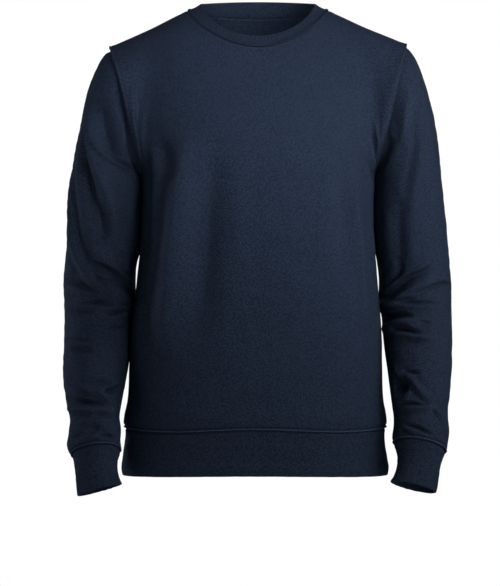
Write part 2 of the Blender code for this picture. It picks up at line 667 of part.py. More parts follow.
build_panel(FRONT, FRONT_FOLDS, knit("front_fleece", NAVY), garment)
build_panel(BACK, BACK_FOLDS, knit("back_fleece", NAVY), garment)
build_sleeve(RIGHT, SLEEVE_FOLDS_RIGHT, knit("sleeve_right_fleece", NAVY), garment)
build_sleeve(LEFT, SLEEVE_FOLDS_LEFT, knit("sleeve_left_fleece", NAVY), garment)
build_neckband(knit("neckband_rib", NAVY_RIB), garment)
build_hem_band(knit("hem_band_rib", NAVY_RIB), garment)
build_cuff(RIGHT, knit("cuff_right_rib", NAVY_RIB), garment)
build_cuff(LEFT, knit("cuff_left_rib", NAVY_RIB), garment)
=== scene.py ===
"""A navy crewneck sweatshirt in the hollow form it has on a wearer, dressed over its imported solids.

The file follows the garment as it is made up: front, back, sleeves, neckband, hem band, cuffs,
topstitching, and then the studio. +X is the wearer's left and +Y the back. Lengths are in metres,
but rings, creases and rolls are written in millimetres and turned into metres where they are read.
"""

from collections import namedtuple

import bpy
import numpy as np
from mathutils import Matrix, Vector


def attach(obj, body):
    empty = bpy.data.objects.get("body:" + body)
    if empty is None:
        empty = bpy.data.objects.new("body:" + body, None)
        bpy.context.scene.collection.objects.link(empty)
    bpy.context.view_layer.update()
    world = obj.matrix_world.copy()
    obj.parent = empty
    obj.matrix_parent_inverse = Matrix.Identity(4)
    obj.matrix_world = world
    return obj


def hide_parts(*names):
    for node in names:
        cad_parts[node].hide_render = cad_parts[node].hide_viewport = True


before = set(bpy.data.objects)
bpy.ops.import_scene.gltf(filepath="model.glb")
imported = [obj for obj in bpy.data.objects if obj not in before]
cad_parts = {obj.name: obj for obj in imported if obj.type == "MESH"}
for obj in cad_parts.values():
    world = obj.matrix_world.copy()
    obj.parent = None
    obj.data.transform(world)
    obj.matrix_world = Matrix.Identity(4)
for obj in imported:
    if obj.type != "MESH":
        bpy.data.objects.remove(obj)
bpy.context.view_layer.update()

# ---- Front panel -----------------------------------------
# The front is one cut piece of brushed-back fleece about 2 mm thick. It is sewn to the back at
# the shoulders and side seams, to the sleeves round the armholes, to the rib at neck and hem.
# Its form is a soft rounded box below the armpits and rises from there over chest and shoulders.
FLEECE = 0.0021


def metres(row, count):
    """A row with its first count values turned from millimetres into metres."""
    return [value / 1000 for value in row[:count]] + list(row[count:])


def table(kind, rows, millimetres=0):
    """Rows with their columns named. millimetres is how many columns are given in them."""
    return [kind(*metres(row, millimetres)) for row in rows]


# Rings round the body: half_width is from the centre to a side, front and back are the depths.
BodyRing = namedtuple("BodyRing", "height centre half_width front back")
BODY_RINGS = table(BodyRing, (
    (-695, -4.5, 198.5, 112, 106),
    (-685, -4.5, 200, 113.5, 107),
    (-667, -4.6, 197.8, 113, 106.5),
    (-648, -4.6, 195, 113.5, 106),
    (-627, -4.2, 193.2, 114.5, 106.5),
    (-612, -4, 195.6, 118.5, 110),
    (-585, -3.8, 191.2, 118, 110),
    (-530, -3.4, 188.8, 118, 108.5),
    (-478, -2.6, 186.8, 119.5, 107),
    (-424, -1.4, 181.5, 122.5, 105.5),
    (-380, -0.8, 177, 126, 107),
    (-335, -0.8, 173.2, 130, 112),
    (-290, 0, 172.2, 133.5, 118),
    (-243, 1, 173.2, 135, 122.5),
    (-195, 1, 175, 134.5, 123.5),
), millimetres=5)
ARMPIT_HEIGHT = -0.243
SECTION_POWER = 2.0 / 2.4
SECTION_HALVES = (0.180, 0.120)
SECTION_POINTS = 500

# The shoulder line, carried on across the neck: place is 0 at the centre and 1 at the shoulder.
Ridge = namedtuple("Ridge", "place across up")
NECK_SHARE = 0.44
RIDGE = table(Ridge, (
    (-0.22, -0.0525, 0.0160),
    (0.00, 0.0000, 0.0215),
    (0.22, 0.0525, 0.0160),
    (0.44, 0.1035, 0.0000),
    (0.72, 0.1635, -0.0290),
    (1.00, 0.2235, -0.0555),
))
LEFT_SHOULDER_LIFT = 0.0040

HEM_SEAM = -0.6240
HEM_SEAM_DROP = 0.0042
HEM_SEAM_RISE = 0.0015

# How a column of cloth meets the shoulder line: away from the centre, away from the body, up.
Pull = namedtuple("Pull", "place across out up")
Panel = namedtuple("Panel", "name way neck_rise top_pulls")
ARMHOLE_PULL = Pull(1.0, 0.020, 0.270, 0.100)
ARMHOLE_SHARE = 0.60
NECK_ROUNDNESS = 1.1
FRONT = Panel(
    name="front",
    way=-1,
    neck_rise=0.60,
    top_pulls=(
        Pull(-0.44, 0.01, -0.235, 0.07),
        Pull(0, 0, -0.225, 0.11),
        Pull(0.44, -0.01, -0.235, 0.07),
        Pull(0.72, 0.01, -0.255, 0.045),
        Pull(1, 0.04, -0.32, 0.055),
    ),
)

# Quads in a panel. Next to a seam the rows and columns lie at SEAM_STEPS from it, in millimetres.
NECK_COLUMNS = 46
SHOULDER_COLUMNS = 42
YOKE_ROWS = 76
BODY_ROWS = 116
SEAM_STEPS = (0.0, 0.4, 0.8, 1.3, 1.8, 2.4, 3.0, 3.6, 4.0, 4.4, 4.8, 5.4, 6.2, 7.4, 9.0)
PANEL_HALF_WIDTH = 0.25
YOKE_LENGTH = 0.24
BODY_LENGTH = 0.38

# A crease runs through its points, and its width changes from start to end. Depth sinks the
# cloth, a negative depth lifts a ridge. Lean makes the upper wall steeper, or the lower one if
# negative. A row gives start width, end width, depth and any lean, then the points. All is in
# millimetres but lean. A panel's points are (distance from the centre line, drop from the neck).
Crease = namedtuple("Crease", "points start_width end_width depth lean", defaults=(0.0,))
VALLEY_POWER = 1.5
CREST_SHARE = 0.36
CREST_PLACE = 1.9
CREST_SPREAD = 0.8
END_FADE = 0.6
CREASE_STEP = 0.002
CREASE_REACH = 4


def crease_table(rows, sideways=0.001):
    """Creases in metres. sideways is one unit of a point's first number."""
    found = []
    for sizes, *points in rows:
        points = [(across * sideways, -drop / 1000) for across, drop in points]
        found.append(Crease(points, *metres(sizes, 3)))
    return found


FRONT_CREASES = crease_table((
    ((22, 24, -18, 0.1), (-108, 190), (-119, 245), (-129, 331), (-132.5, 400), (-136, 460),
     (-146, 515)),
    ((12, 14, 6), (-176, 200), (-158, 218), (-136, 258)),
    ((18, 20, 9, -0.3), (-200, 210), (-205, 290), (-205, 370), (-202, 445)),
    ((8, 6, 4), (-205, 139), (-222, 180), (-226, 226)),
    ((6, 6, -2.4), (-216, 110), (-231, 150), (-236, 190)),
    ((22, 24, 3.2), (-75, 225), (-77, 340), (-84, 460)),
    ((12, 14, -1.4), (-110, 260), (-114, 340), (-116, 430)),
    ((14, 18, 5), (128, 222), (133, 300), (136, 400)),
    ((9, 12, -5), (147, 232), (160, 290), (166, 340), (172, 410), (174, 480)),
    ((12, 14, 4.5), (196, 262), (200, 320), (198, 380)),
    ((6, 4, 4.5), (196, 186), (211, 208), (228, 238)),
    ((8, 5, 5.5), (178, 216), (198, 236), (222, 256)),
    ((7, 5, -3), (200, 168), (216, 190), (234, 214)),
    ((12, 12, -1), (-150, 596), (-60, 604), (20, 600)),
    ((12, 12, -1), (40, 600), (110, 606), (190, 598)),
))

# Beside a seam the cloth rolls up out of it. Where the turnings are stitched down, a groove runs
# under the stitches with a soft roll beyond it. Rows are (millimetres away, millimetres up).
PLAIN_ROLL = ((0, 0), (0.5, 0.3), (1.2, 0.65), (2.2, 0.8), (4, 0.75), (7, 0.5), (11, 0.15), (15, 0))
HEM_ROLL = (
    (0, 0), (0.3, 1.1), (0.7, 2.1), (1.3, 2.6), (2.0, 2.6), (2.7, 2.0), (3.4, 1.1), (4.0, 0.5),
    (4.4, 0.35), (4.9, 0.6), (5.6, 1.2), (6.6, 1.5), (9, 1.1), (12, 0.5), (16, 0.1), (20, 0),
)
ARMHOLE_ROLL = (
    (0, 0), (0.3, 0.8), (0.8, 1.7), (1.5, 2.0), (2.3, 1.6), (3.2, 1.0), (4.2, 0.7), (5.2, 0.8),
    (6.0, 0.75), (7.5, 0.5), (10, 0.2), (14, 0),
)
NECK_ROLL = (
    (0, 0), (0.5, 0.5), (1.1, 0.9), (1.8, 0.8), (2.3, 0.45), (2.7, 0.35), (3.2, 0.6), (4.2, 0.8),
    (8, 0.5), (14, 0),
)
CROSSING = 0.003
FOLDS_START = 0.012

# How unevenly the cloth lies: its waves' size and length, and how much shorter and lower each is
# than the one before.
WANDER = 0.0005
WAVES = 14
LONGEST_WAVE = 0.16
SHORTENING = 0.55
LOWERING = 0.5


def hermite(start, leave, end, arrive, share):
    """A cubic curve from start to end, with its slopes at both ends."""
    return (
        (1 + 2 * share) * (1 - share) ** 2 * start
        + share * (1 - share) ** 2 * leave
        + share**2 * (3 - 2 * share) * end
        + share**2 * (share - 1) * arrive
    )


def through(places, values, at):
    """A smooth curve through the values at their places, read at other places."""
    slopes = np.gradient(values, places)
    at = np.clip(at, places[0], places[-1])
    low = np.clip(np.searchsorted(places, at) - 1, 0, len(places) - 2)
    span = places[low + 1] - places[low]
    share = (at - places[low]) / span
    return hermite(values[low], slopes[low] * span, values[low + 1], slopes[low + 1] * span, share)


def between(rows, at):
    """A row of a table at any values of its first column, off smooth curves through its rows."""
    columns = np.array(rows).T
    return rows[0]._make(through(columns[0], column, at) for column in columns)


def ease(share):
    share = np.clip(share, 0, 1)
    return share * share * (3 - 2 * share)


def blend(first, second, share):
    return first + (second - first) * share


def xyz(x, y, z):
    return np.stack(np.broadcast_arrays(x, y, z), axis=-1)


def unit(vectors):
    return vectors / np.maximum(np.linalg.norm(vectors, axis=-1, keepdims=True), 1e-12)


def section_turn(share):
    """The angle round the body's section at a share of its outline from centre to side."""
    turns = np.linspace(0, np.pi / 2, SECTION_POINTS)
    x = SECTION_HALVES[0] * np.sin(turns) ** SECTION_POWER
    y = SECTION_HALVES[1] * np.cos(turns) ** SECTION_POWER
    length = np.append(0, np.cumsum(np.hypot(np.diff(x), np.diff(y))))
    return np.interp(share, length / length[-1], turns)


def body_ring(panel, place, height):
    """Points on the body at a height. place runs from -1 at one side seam to 1 at the other."""
    turn = section_turn(np.abs(place))
    ring = between(BODY_RINGS, height)
    x = ring.centre + np.sign(place) * ring.half_width * np.sin(turn) ** SECTION_POWER
    y = panel.way * getattr(ring, panel.name) * np.maximum(np.cos(turn), 0) ** SECTION_POWER
    return xyz(x, y, height)


def pull_vectors(panel, place, across, out, up):
    return xyz(np.where(place < 0, -1, 1) * across, panel.way * out, up)


def shoulder_line(place):
    ridge = between(RIDGE, np.abs(place))
    lift = LEFT_SHOULDER_LIFT * ease((place - NECK_SHARE) / (1 - NECK_SHARE))
    return xyz(ridge.across * np.where(place < 0, -1, 1), 0, ridge.up + lift)


def yoke(panel, place, rise):
    """The cloth above the armpits, at a share of the way up to the shoulder line."""
    share = np.abs(place)
    foot = body_ring(panel, place, ARMPIT_HEIGHT)
    top = shoulder_line(place)
    step = 0.001
    slope = (body_ring(panel, place, ARMPIT_HEIGHT + step) - foot) / step
    straight = slope * (top[..., 2:] - foot[..., 2:])
    turned = pull_vectors(panel, place, *ARMHOLE_PULL[1:])
    turning = ease((share - ARMHOLE_SHARE) / (1 - ARMHOLE_SHARE))[..., None] ** 2
    leave = blend(straight, turned, turning)
    arrive = pull_vectors(panel, place, *between(panel.top_pulls, share)[1:])
    return hermite(foot, leave, top, arrive, rise[..., None])


def neck_cut(panel, turn):
    """Where the neckline runs on the yoke: its place and rise, at a turn from the centre."""
    place = NECK_SHARE * np.sin(turn)
    rise = 1 - (1 - panel.neck_rise) * np.maximum(np.cos(turn), 0) ** NECK_ROUNDNESS
    return place, rise


def neckline(panel, turn):
    return yoke(panel, *neck_cut(panel, turn))


def hem_seam(place):
    drop = HEM_SEAM_DROP * np.sin(np.pi * place) ** 2
    return HEM_SEAM - drop + HEM_SEAM_RISE * np.cos(place * np.pi / 2) ** 2


def steps(count, length, first, last):
    """Shares of a length, closer together next to each end where there is a seam."""
    close = np.array(SEAM_STEPS) / 1000 / length
    start = close if first else np.zeros(1)
    end = 1 - close[::-1] if last else np.ones(1)
    between = np.linspace(start[-1], end[0], count + 1)
    return np.concatenate([start[:-1], between, end[1:]])


def panel_places():
    neck = np.linspace(0, NECK_SHARE, NECK_COLUMNS + 1)
    shoulder_width = (1 - NECK_SHARE) * PANEL_HALF_WIDTH
    shoulder = blend(NECK_SHARE, 1, steps(SHOULDER_COLUMNS, shoulder_width, False, True)[1:])
    half = np.concatenate([neck, shoulder])
    return np.concatenate([-half[:0:-1], half])


def panel_points(panel):
    """The panel's outer face, a row of points for each level from hem seam to neck."""
    place = panel_places()
    level = steps(BODY_ROWS, BODY_LENGTH, True, False)[:-1, None]
    lower = body_ring(panel, place, blend(hem_seam(place), ARMPIT_HEIGHT, level))
    turn = place / NECK_SHARE * np.pi / 2
    on_neck = np.abs(place) <= NECK_SHARE
    neck_place, neck_rise = neck_cut(panel, turn)
    top_place = np.where(on_neck, neck_place, place)
    top_rise = np.where(on_neck, neck_rise, 1.0)
    level = steps(YOKE_ROWS, YOKE_LENGTH, False, True)[:, None]
    upper = yoke(panel, blend(place, top_place, level**2), top_rise * level)
    return np.concatenate([lower, upper])


def normals(points, tube, side):
    """The way out of a face, at each of its points. A tube's first and last columns meet."""
    if tube:
        wide = np.concatenate([points[:, -2:-1], points, points[:, 1:2]], axis=1)
        along_row = (wide[:, 2:] - wide[:, :-2]) / 2
    else:
        along_row = np.gradient(points, axis=1)
    return side * unit(np.cross(along_row, np.gradient(points, axis=0)))


def crease_relief(crease, across, height):
    """How far one crease moves the cloth out, at each point of a face."""
    knots = np.array(crease.points)
    along = np.append(0, np.cumsum(np.hypot(*np.diff(knots, axis=0).T)))
    at = np.linspace(0, along[-1], int(along[-1] / CREASE_STEP) + 8)
    line = np.stack([through(along, knots[:, i], at) for i in (0, 1)], axis=-1)
    way = unit(np.gradient(line, axis=0))
    reach = CREASE_REACH * max(crease.start_width, crease.end_width)
    low, high = line.min(axis=0) - reach, line.max(axis=0) + reach
    near = (across > low[0]) & (across < high[0]) & (height > low[1]) & (height < high[1])
    offset = np.stack([across[near], height[near]], axis=-1)[:, None] - line
    nearest = np.argmin((offset**2).sum(axis=-1), axis=1)
    offset = offset[np.arange(len(nearest)), nearest]
    way = way[nearest]
    share = at[nearest] / along[-1]
    beyond = np.abs((offset * way).sum(axis=-1))
    upwards = np.sign(knots[-1, 0] - knots[0, 0] + 1e-9)
    side = (offset[:, 1] * way[:, 0] - offset[:, 0] * way[:, 1]) * upwards
    width = blend(crease.start_width, crease.end_width, share)
    gap = np.abs(side) / (width * (1 - crease.lean * np.tanh(side / width)))
    crest = CREST_SHARE * np.exp(-((gap - CREST_PLACE) ** 2) / CREST_SPREAD)
    form = np.exp(-(gap**VALLEY_POWER)) - crest
    fade = np.sin(np.pi * share) ** END_FADE * np.exp(-((beyond / width) ** 2))
    moved = np.zeros(across.shape)
    moved[near] = -crease.depth * form * fade
    return moved


def wander(points, seed, longest=LONGEST_WAVE):
    """The slow unevenness of cloth that hangs free: waves of many lengths and directions."""
    draw = np.random.default_rng(seed)
    total = np.zeros(points.shape[:-1])
    for wave in range(WAVES):
        length = longest / (1 + SHORTENING * wave)
        way = unit(draw.normal(size=3)) * 2 * np.pi / length
        total += np.sin(points @ way + draw.uniform(0, 2 * np.pi)) / (1 + LOWERING * wave)
    return total


def nearest_gap(points, line, at_once=40):
    nearest = np.full(len(points), np.inf)
    for part in np.array_split(line, max(1, len(line) // at_once)):
        gap = ((points[:, None] - part[None]) ** 2).sum(axis=-1).min(axis=1)
        nearest = np.minimum(nearest, gap)
    return np.sqrt(nearest)


def far_from(line, points, gap=0.0006, reach=0.024, coarse=16):
    """How far each point is from a line, exact only within reach of it."""
    length = np.append(0, np.cumsum(np.linalg.norm(np.diff(line, axis=0), axis=1)))
    at = np.linspace(0, length[-1], int(length[-1] / gap) + 2)
    fine = np.stack([np.interp(at, length, line[:, i]) for i in range(3)], axis=-1)
    flat = points.reshape(-1, 3)
    found = nearest_gap(flat, fine[::coarse])
    near = found < reach
    found[near] = nearest_gap(flat[near], fine)
    return found.reshape(points.shape[:-1])


def sewn(points, way, lift, seams):
    """Moves a face out by lift, except at its seams, and rolls the cloth up beside each seam."""
    gaps = [far_from(line, points) for line, _, _ in seams]
    lift = lift * ease(np.min(gaps, axis=0) / FOLDS_START)
    for (_, roll, strength), gap in zip(seams, gaps):
        away, up = np.array(roll).T / 1000
        part = np.interp(gap, away, up) * strength
        for other in gaps:
            if other is not gap:
                part = part * ease(other / CROSSING)
        lift = lift + part
    return points + way * lift[..., None]


def lengths(points, axis, start):
    """How far along its own row or column each point of a face is from the start."""
    step = np.linalg.norm(np.diff(points, axis=axis), axis=-1)
    along = np.insert(np.cumsum(step, axis=axis), 0, 0, axis=axis)
    return along - np.take(along, [start], axis=axis)


def new_object(name, data):
    """An object for a mesh, a light or a camera, added to the scene."""
    made = bpy.data.objects.new(name, data)
    bpy.context.scene.collection.objects.link(made)
    return made


def cloth_piece(name, points, corners, side, tube):
    """A smooth mesh over a table of points. Each group of corners makes many faces at once, and
    a corner is (layer, row, column). A UV map gives each corner its place in metres of cloth."""
    layers, rows, columns = points.shape[:3]
    round_count = columns - 1 if tube else columns
    lowest = 0 if points[0, 0, 0, 2] < points[0, -1, 0, 2] else rows - 1
    u, v = lengths(points[0], 1, columns // 2), lengths(points[0], 0, lowest)
    faces, places = [], []
    for group in corners:
        group = [np.broadcast_arrays(*corner) for corner in group][:: 1 if side > 0 else -1]
        at, uv = [], []
        for layer, row, column in group:
            at.append(((layer * rows + row) * round_count + column % round_count).ravel())
            uv.append(np.stack([u[row, column].ravel(), v[row, column].ravel()], axis=-1))
        faces.extend(np.stack(at, axis=-1).tolist())
        places.append(np.stack(uv, axis=1).reshape(-1, 2))
    used, faces_used = np.unique(np.concatenate(faces), return_inverse=True)
    counts = [len(face) for face in faces]
    starts = np.append(0, np.cumsum(counts))
    faces = [faces_used[a:b].tolist() for a, b in zip(starts, starts[1:])]
    mesh = bpy.data.meshes.new(name)
    mesh.from_pydata(points[:, :, :round_count].reshape(-1, 3)[used].tolist(), [], faces)
    mesh.uv_layers.new(name="cloth").data.foreach_set("uv", np.concatenate(places).ravel())
    mesh.shade_smooth()
    return new_object(name, mesh)


def shell(name, points, side, tube):
    """A piece of fleece: its outer face, its inner face with half the columns, its raw edges."""
    layers = np.array([points, points - normals(points, tube, side) * FLEECE])
    rows, columns = points.shape[:2]
    row, column = np.mgrid[0 : rows - 1, 0 : columns - 1]
    outer = ((0, row, column), (0, row, column + 1), (0, row + 1, column + 1), (0, row + 1, column))
    row, column = row[:, ::2], column[:, ::2]
    inner = ((1, row + 1, column), (1, row + 1, column + 2), (1, row, column + 2), (1, row, column))
    column = column[0]
    top = rows - 1
    first = ((0, 0, column + 2), (0, 0, column + 1), (0, 0, column))
    first += ((1, 0, column), (1, 0, column + 2))
    last = ((0, top, column), (0, top, column + 1), (0, top, column + 2))
    last += ((1, top, column + 2), (1, top, column))
    corners = [outer, inner, first, last]
    if not tube:
        row, end = np.arange(top), columns - 1
        corners.append(((0, row, 0), (0, row + 1, 0), (1, row + 1, 0), (1, row, 0)))
        corners.append(((0, row + 1, end), (0, row, end), (1, row, end), (1, row + 1, end)))
    return cloth_piece(name, layers, corners, side, tube)


def fill(tree, made, inputs):
    """Gives a node its inputs: another node's output is linked, and any other value is set."""
    for name, value in inputs.items():
        if isinstance(value, bpy.types.NodeSocket):
            tree.links.new(value, made.inputs[name])
        else:
            made.inputs[name].default_value = value


def node(tree, kind, inputs=(), **settings):
    """Adds a node with its settings and inputs, and returns its outputs."""
    made = tree.nodes.new(kind)
    for key, value in settings.items():
        setattr(made, key, value)
    fill(tree, made, dict(inputs))
    return made.outputs


def new_material(name, **inputs):
    """A material, with values for the inputs of its shader."""
    material = bpy.data.materials.new(name)
    material.use_nodes = True
    tree = material.node_tree
    inputs = {key.replace("_", " "): value for key, value in inputs.items()}
    fill(tree, tree.nodes["Principled BSDF"], inputs)
    return material


# The fleece's face is a fine knit: small pebbles of yarn in courses, none quite like the next.
# Each pebble is painted lighter on its top and darker towards its edge, as painted shade of the
# knit's relief: NAVY on the tops and NAVY_LOW in the gaps. The yarn is thicker in places (slubs),
# which shifts and raises its pebbles, and the dye drifts.
NAVY = (0.0255, 0.0377, 0.0662)
NAVY_LOW = (0.0124, 0.0187, 0.0334)
PEBBLE = (0.0032, 0.0030)
PEBBLE_SPREAD = 0.42
PEBBLE_EDGE = 0.75
DIAGONAL = np.pi / 4
SLUBS = {"Scale": 380.0, "Detail": 3.0, "Roughness": 0.6}
SLUB_SHIFT = (0.0009, 0.0009, 0.0)
SLUB_HEIGHT = 0.8
DRIFT = {"Scale": 60.0, "Detail": 4.0, "Roughness": 0.6}
DRIFT_SHARE = 0.1
TONES = {"From Min": 0.05, "From Max": 0.80}
KNIT_DEPTH = 0.0002
RIB_HEIGHT = 0.45


def knit(name, rib=0.0):
    """Navy cotton knit. rib is the width of one rib, or 0 for a plain face."""
    material = new_material(name, Roughness=0.95, Specular_IOR_Level=0.02)
    tree = material.node_tree

    def shade(kind, inputs=(), **settings):
        return node(tree, "ShaderNode" + kind, inputs, **settings)

    def scaled_sum(value, scale, added):
        return shade("Math", {0: value, 1: scale, 2: added}, operation="MULTIPLY_ADD")

    cloth = shade("UVMap", uv_map="cloth")[0]
    place = shade("TexCoord")["Object"]
    slub = shade("TexNoise", {"Vector": place, **SLUBS})
    drift = shade("TexNoise", {"Vector": place, **DRIFT})
    shift = {0: slub["Color"], 1: SLUB_SHIFT, 2: cloth}
    shifted = shade("VectorMath", shift, operation="MULTIPLY_ADD")[0]
    scale = (1 / PEBBLE[0], 1 / PEBBLE[1], 1.0)
    laid = {"Vector": shifted, "Scale": scale, "Rotation": (0.0, 0.0, DIAGONAL)}
    cells = {"Vector": shade("Mapping", laid)[0], "Scale": 1.0, "Randomness": PEBBLE_SPREAD}
    from_centre = shade("TexVoronoi", cells)["Distance"]
    dome = {"Value": from_centre, "From Max": PEBBLE_EDGE, "To Min": 1.0, "To Max": 0.0}
    pebble = shade("MapRange", dome, interpolation_type="SMOOTHSTEP")
    height = scaled_sum(slub[0], SLUB_HEIGHT, pebble[0])
    if rib:
        turns = {"Vector": cloth, "Scale": (2 * np.pi / rib, 1.0, 1.0)}
        across = shade("SeparateXYZ", {0: shade("Mapping", turns)[0]})
        wave = shade("Math", {0: across[0]}, operation="SINE")
        height = scaled_sum(wave[0], RIB_HEIGHT, height[0])
    relief = {"Height": height[0], "Distance": KNIT_DEPTH, "Strength": 1.0}
    # Painted shade: the colour follows each pebble's dome, lighter on top and darker in the gaps
    # between, with the dye's drift added.
    tone = scaled_sum(drift[0], DRIFT_SHARE, pebble[0])
    lightness = shade("MapRange", {"Value": tone[0], **TONES})
    pebble_shade_and_dye = {"Factor": lightness[0], "A": (*NAVY_LOW, 1.0), "B": (*NAVY, 1.0)}
    surface = {
        "Base Color": shade("Mix", pebble_shade_and_dye, data_type="RGBA")["Result"],
        "Normal": shade("Bump", relief)[0],
    }
    fill(tree, tree.nodes["Principled BSDF"], surface)
    return material


def armhole(side, angle):
    """The armhole seam, by the angle round it: -90 at the underarm, 90 at the shoulder."""
    angle = np.asarray(angle, float)
    place = np.full(angle.shape, float(side))
    front = yoke(FRONT, place, np.clip((angle + 90) / 180, 0, 1))
    back = yoke(BACK, place, np.clip((270 - angle) / 180, 0, 1))
    return np.where((angle <= 90)[..., None], front, back)


NECK_POINTS = 200
SIDE_POINTS = 60
ARMHOLE_POINTS = 120


def panel_seams(panel):
    """The lines where a panel is sewn, each with the way the cloth rolls beside it."""
    turn = np.linspace(-np.pi / 2, np.pi / 2, NECK_POINTS)
    upwards = np.linspace(0, 1, SIDE_POINTS)
    first = -90 if panel is FRONT else 90
    half = np.linspace(first, first + 180, ARMHOLE_POINTS)
    place = panel_places()
    found = [
        (neckline(panel, turn), NECK_ROLL, 1.0),
        (body_ring(panel, place, hem_seam(place)), HEM_ROLL, 1.0),
    ]
    for side in (-1, 1):
        shoulder = shoulder_line(side * np.linspace(NECK_SHARE, 1, SIDE_POINTS))
        seam = body_ring(panel, float(side), blend(hem_seam(side), ARMPIT_HEIGHT, upwards))
        found += [(shoulder, PLAIN_ROLL, 1.0), (seam, PLAIN_ROLL, 1.0)]
        found.append((armhole(side, half), ARMHOLE_ROLL, 1.0))
    return found


def finished_panel(panel, creases, seed):
    """The panel's outer face with its folds, its unevenness and its seams."""
    points = panel_points(panel)
    across = np.broadcast_to(panel_places() * PANEL_HALF_WIDTH, points.shape[:2])
    lift = WANDER * wander(points, seed)
    for crease in creases:
        lift = lift + crease_relief(crease, across, points[..., 2])
    return sewn(points, normals(points, False, -panel.way), lift, panel_seams(panel))


def wear(piece, solid, material):
    """Dresses a solid in its cloth."""
    piece.data.materials.append(material)
    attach(piece, "root")
    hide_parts(solid)


BACK = Panel(
    name="back",
    way=1,
    neck_rise=0.75,
    top_pulls=(
        Pull(-0.44, 0.01, -0.29, 0.02),
        Pull(0, 0, -0.3, -0.01),
        Pull(0.44, -0.01, -0.29, 0.02),
        Pull(0.72, 0.01, -0.28, 0.04),
        Pull(1, 0.04, -0.32, 0.055),
    ),
)
fleece = knit("navy fleece")
front_points = finished_panel(FRONT, FRONT_CREASES, 3)
front = shell("front_cloth", front_points, -FRONT.way, False)
wear(front, "front", fleece)

# ---- Back panel ------------------------------------------
# The back is cut like the front with a shallower neckline, from the same fleece. It hangs from
# the shoulder blades, fills out under the arms and folds softly across the small of the back.
BACK_CREASES = crease_table((
    ((20, 22, -8.5), (-215, 205), (-212, 290), (-214, 385)),
    ((20, 22, -8.5), (215, 205), (212, 290), (214, 385)),
    ((12, 10, 4.5), (-180, 438), (-90, 462), (20, 470)),
    ((10, 12, 4), (-45, 425), (70, 430), (180, 450)),
    ((12, 13, 4), (-150, 503), (-40, 522), (70, 515)),
    ((11, 9, 3.5), (35, 488), (120, 506), (195, 522)),
    ((12, 10, 3), (-195, 558), (-110, 572), (-20, 570)),
    ((11, 12, 3), (20, 580), (110, 578), (180, 563)),
    ((10, 14, 4), (-200, 215), (-165, 265), (-128, 335)),
    ((10, 13, 4), (200, 220), (168, 262), (134, 322)),
    ((20, 22, -2.5), (-85, 90), (-100, 180), (-106, 285)),
    ((20, 22, -2.5), (88, 85), (102, 175), (110, 280)),
))
back_points = finished_panel(BACK, BACK_CREASES, 5)
back = shell("back_cloth", back_points, -BACK.way, False)
wear(back, "back", fleece)

# Rings round the arm: across and forward place their centres, and front_up and inner_up tilt them
# by so many degrees.
SleeveRing = namedtuple(
    "SleeveRing", "height across forward half_width half_depth front_up inner_up"
)
RINGS_RIGHT = table(SleeveRing, (
    (-713, 231.5, 92, 34.4, 31.5, 8, 16),
    (-700, 235, 87.5, 32.2, 30.5, 11, 13),
    (-680, 238, 79.5, 31.2, 31.5, 17, 9),
    (-658, 238.4, 71.5, 34.6, 36, 24, 6.5),
    (-644, 242.4, 66, 38.8, 43, 23, 6),
    (-627, 241.4, 59, 38.2, 45, 20, 5),
    (-607, 242.2, 51, 36.6, 44, 18, 4),
    (-590, 243.4, 44, 40.2, 47, 18, 4),
    (-558, 243.4, 29, 45.4, 51, 18, 3),
    (-523, 241.6, 12, 48.9, 55, 17, 2),
    (-490, 240.8, -2, 50.4, 58, 14, 1),
    (-460, 240.4, -12, 51.2, 60, 11, 1),
    (-435, 238.4, -18.5, 53.6, 62, 8, 0),
    (-411, 238.8, -22.5, 53.6, 64, 5, 0),
    (-376, 237.2, -23.5, 54.4, 67, 1, 0),
    (-355, 233.1, -22, 56.7, 68.5, 0, 0),
    (-326, 231.4, -19, 56.7, 70.5, -2, 0),
    (-285, 228.6, -15, 55.8, 72.5, -3, 0),
), millimetres=5)
RINGS_LEFT = table(SleeveRing, (
    (-709, 226.2, 89, 35, 31.5, 13, 14.5),
    (-696, 231.5, 85, 32.8, 30.5, 14, 13),
    (-674, 236.2, 76.5, 32.4, 31.5, 17, 12),
    (-650, 237.9, 67.5, 37.6, 38, 21, 11),
    (-639, 239.3, 63, 40.8, 43, 21, 10),
    (-625, 241.6, 57.5, 41.2, 45.5, 19, 8),
    (-608, 241.2, 51, 40.2, 45, 18, 6),
    (-593, 240.1, 45, 40.8, 47, 18, 5),
    (-576, 240.5, 37.5, 43.1, 49, 18, 4),
    (-540, 241.4, 20.5, 47.7, 53, 17, 3),
    (-505, 239.9, 5, 50.1, 56.5, 15, 2),
    (-470, 239.5, -8.5, 52.1, 59, 12, 1),
    (-451.5, 238.5, -14, 53, 60.5, 10, 0),
    (-426, 237.2, -19.5, 54.4, 63, 7, 0),
    (-404, 236.8, -22.5, 53.6, 64.5, 4, 0),
    (-376, 234.2, -23.5, 53.8, 67, 1, 0),
    (-350, 230.5, -21.5, 55.1, 69, 0, 0),
    (-326, 228.7, -19, 55.1, 70.5, -2, 0),
    (-285, 226.5, -15, 53.5, 72.5, -3, 0),
), millimetres=5)

# How the sleeve leaves the armhole, by the angle round it: its direction, and how far that tells.
# The back half is like the front half.
HeadPull = namedtuple("HeadPull", "angle across forward down length")
HEAD_PULLS = table(HeadPull, (
    (-90, 0.12, 0.00, 1.00, 0.050),
    (-45, 0.55, 0.08, 0.83, 0.075),
    (0, 0.80, 0.20, 0.55, 0.110),
    (50, 0.72, 0.12, 0.68, 0.165),
    (90, 0.64, 0.00, 0.77, 0.180),
))
HEAD_PULLS += [
    pull._replace(angle=180 - pull.angle, forward=-pull.forward) for pull in HEAD_PULLS[-2::-1]
]
HEAD_FOOT = -0.300
HEAD_ROWS = 84
HEAD_LENGTH = 0.20
ARM_ROWS = 214
ARM_LENGTH = 0.38
SLEEVE_COLUMNS = 156
UNDERARM_CROWDING = 0.45
SLEEVE_RADIUS = 0.055

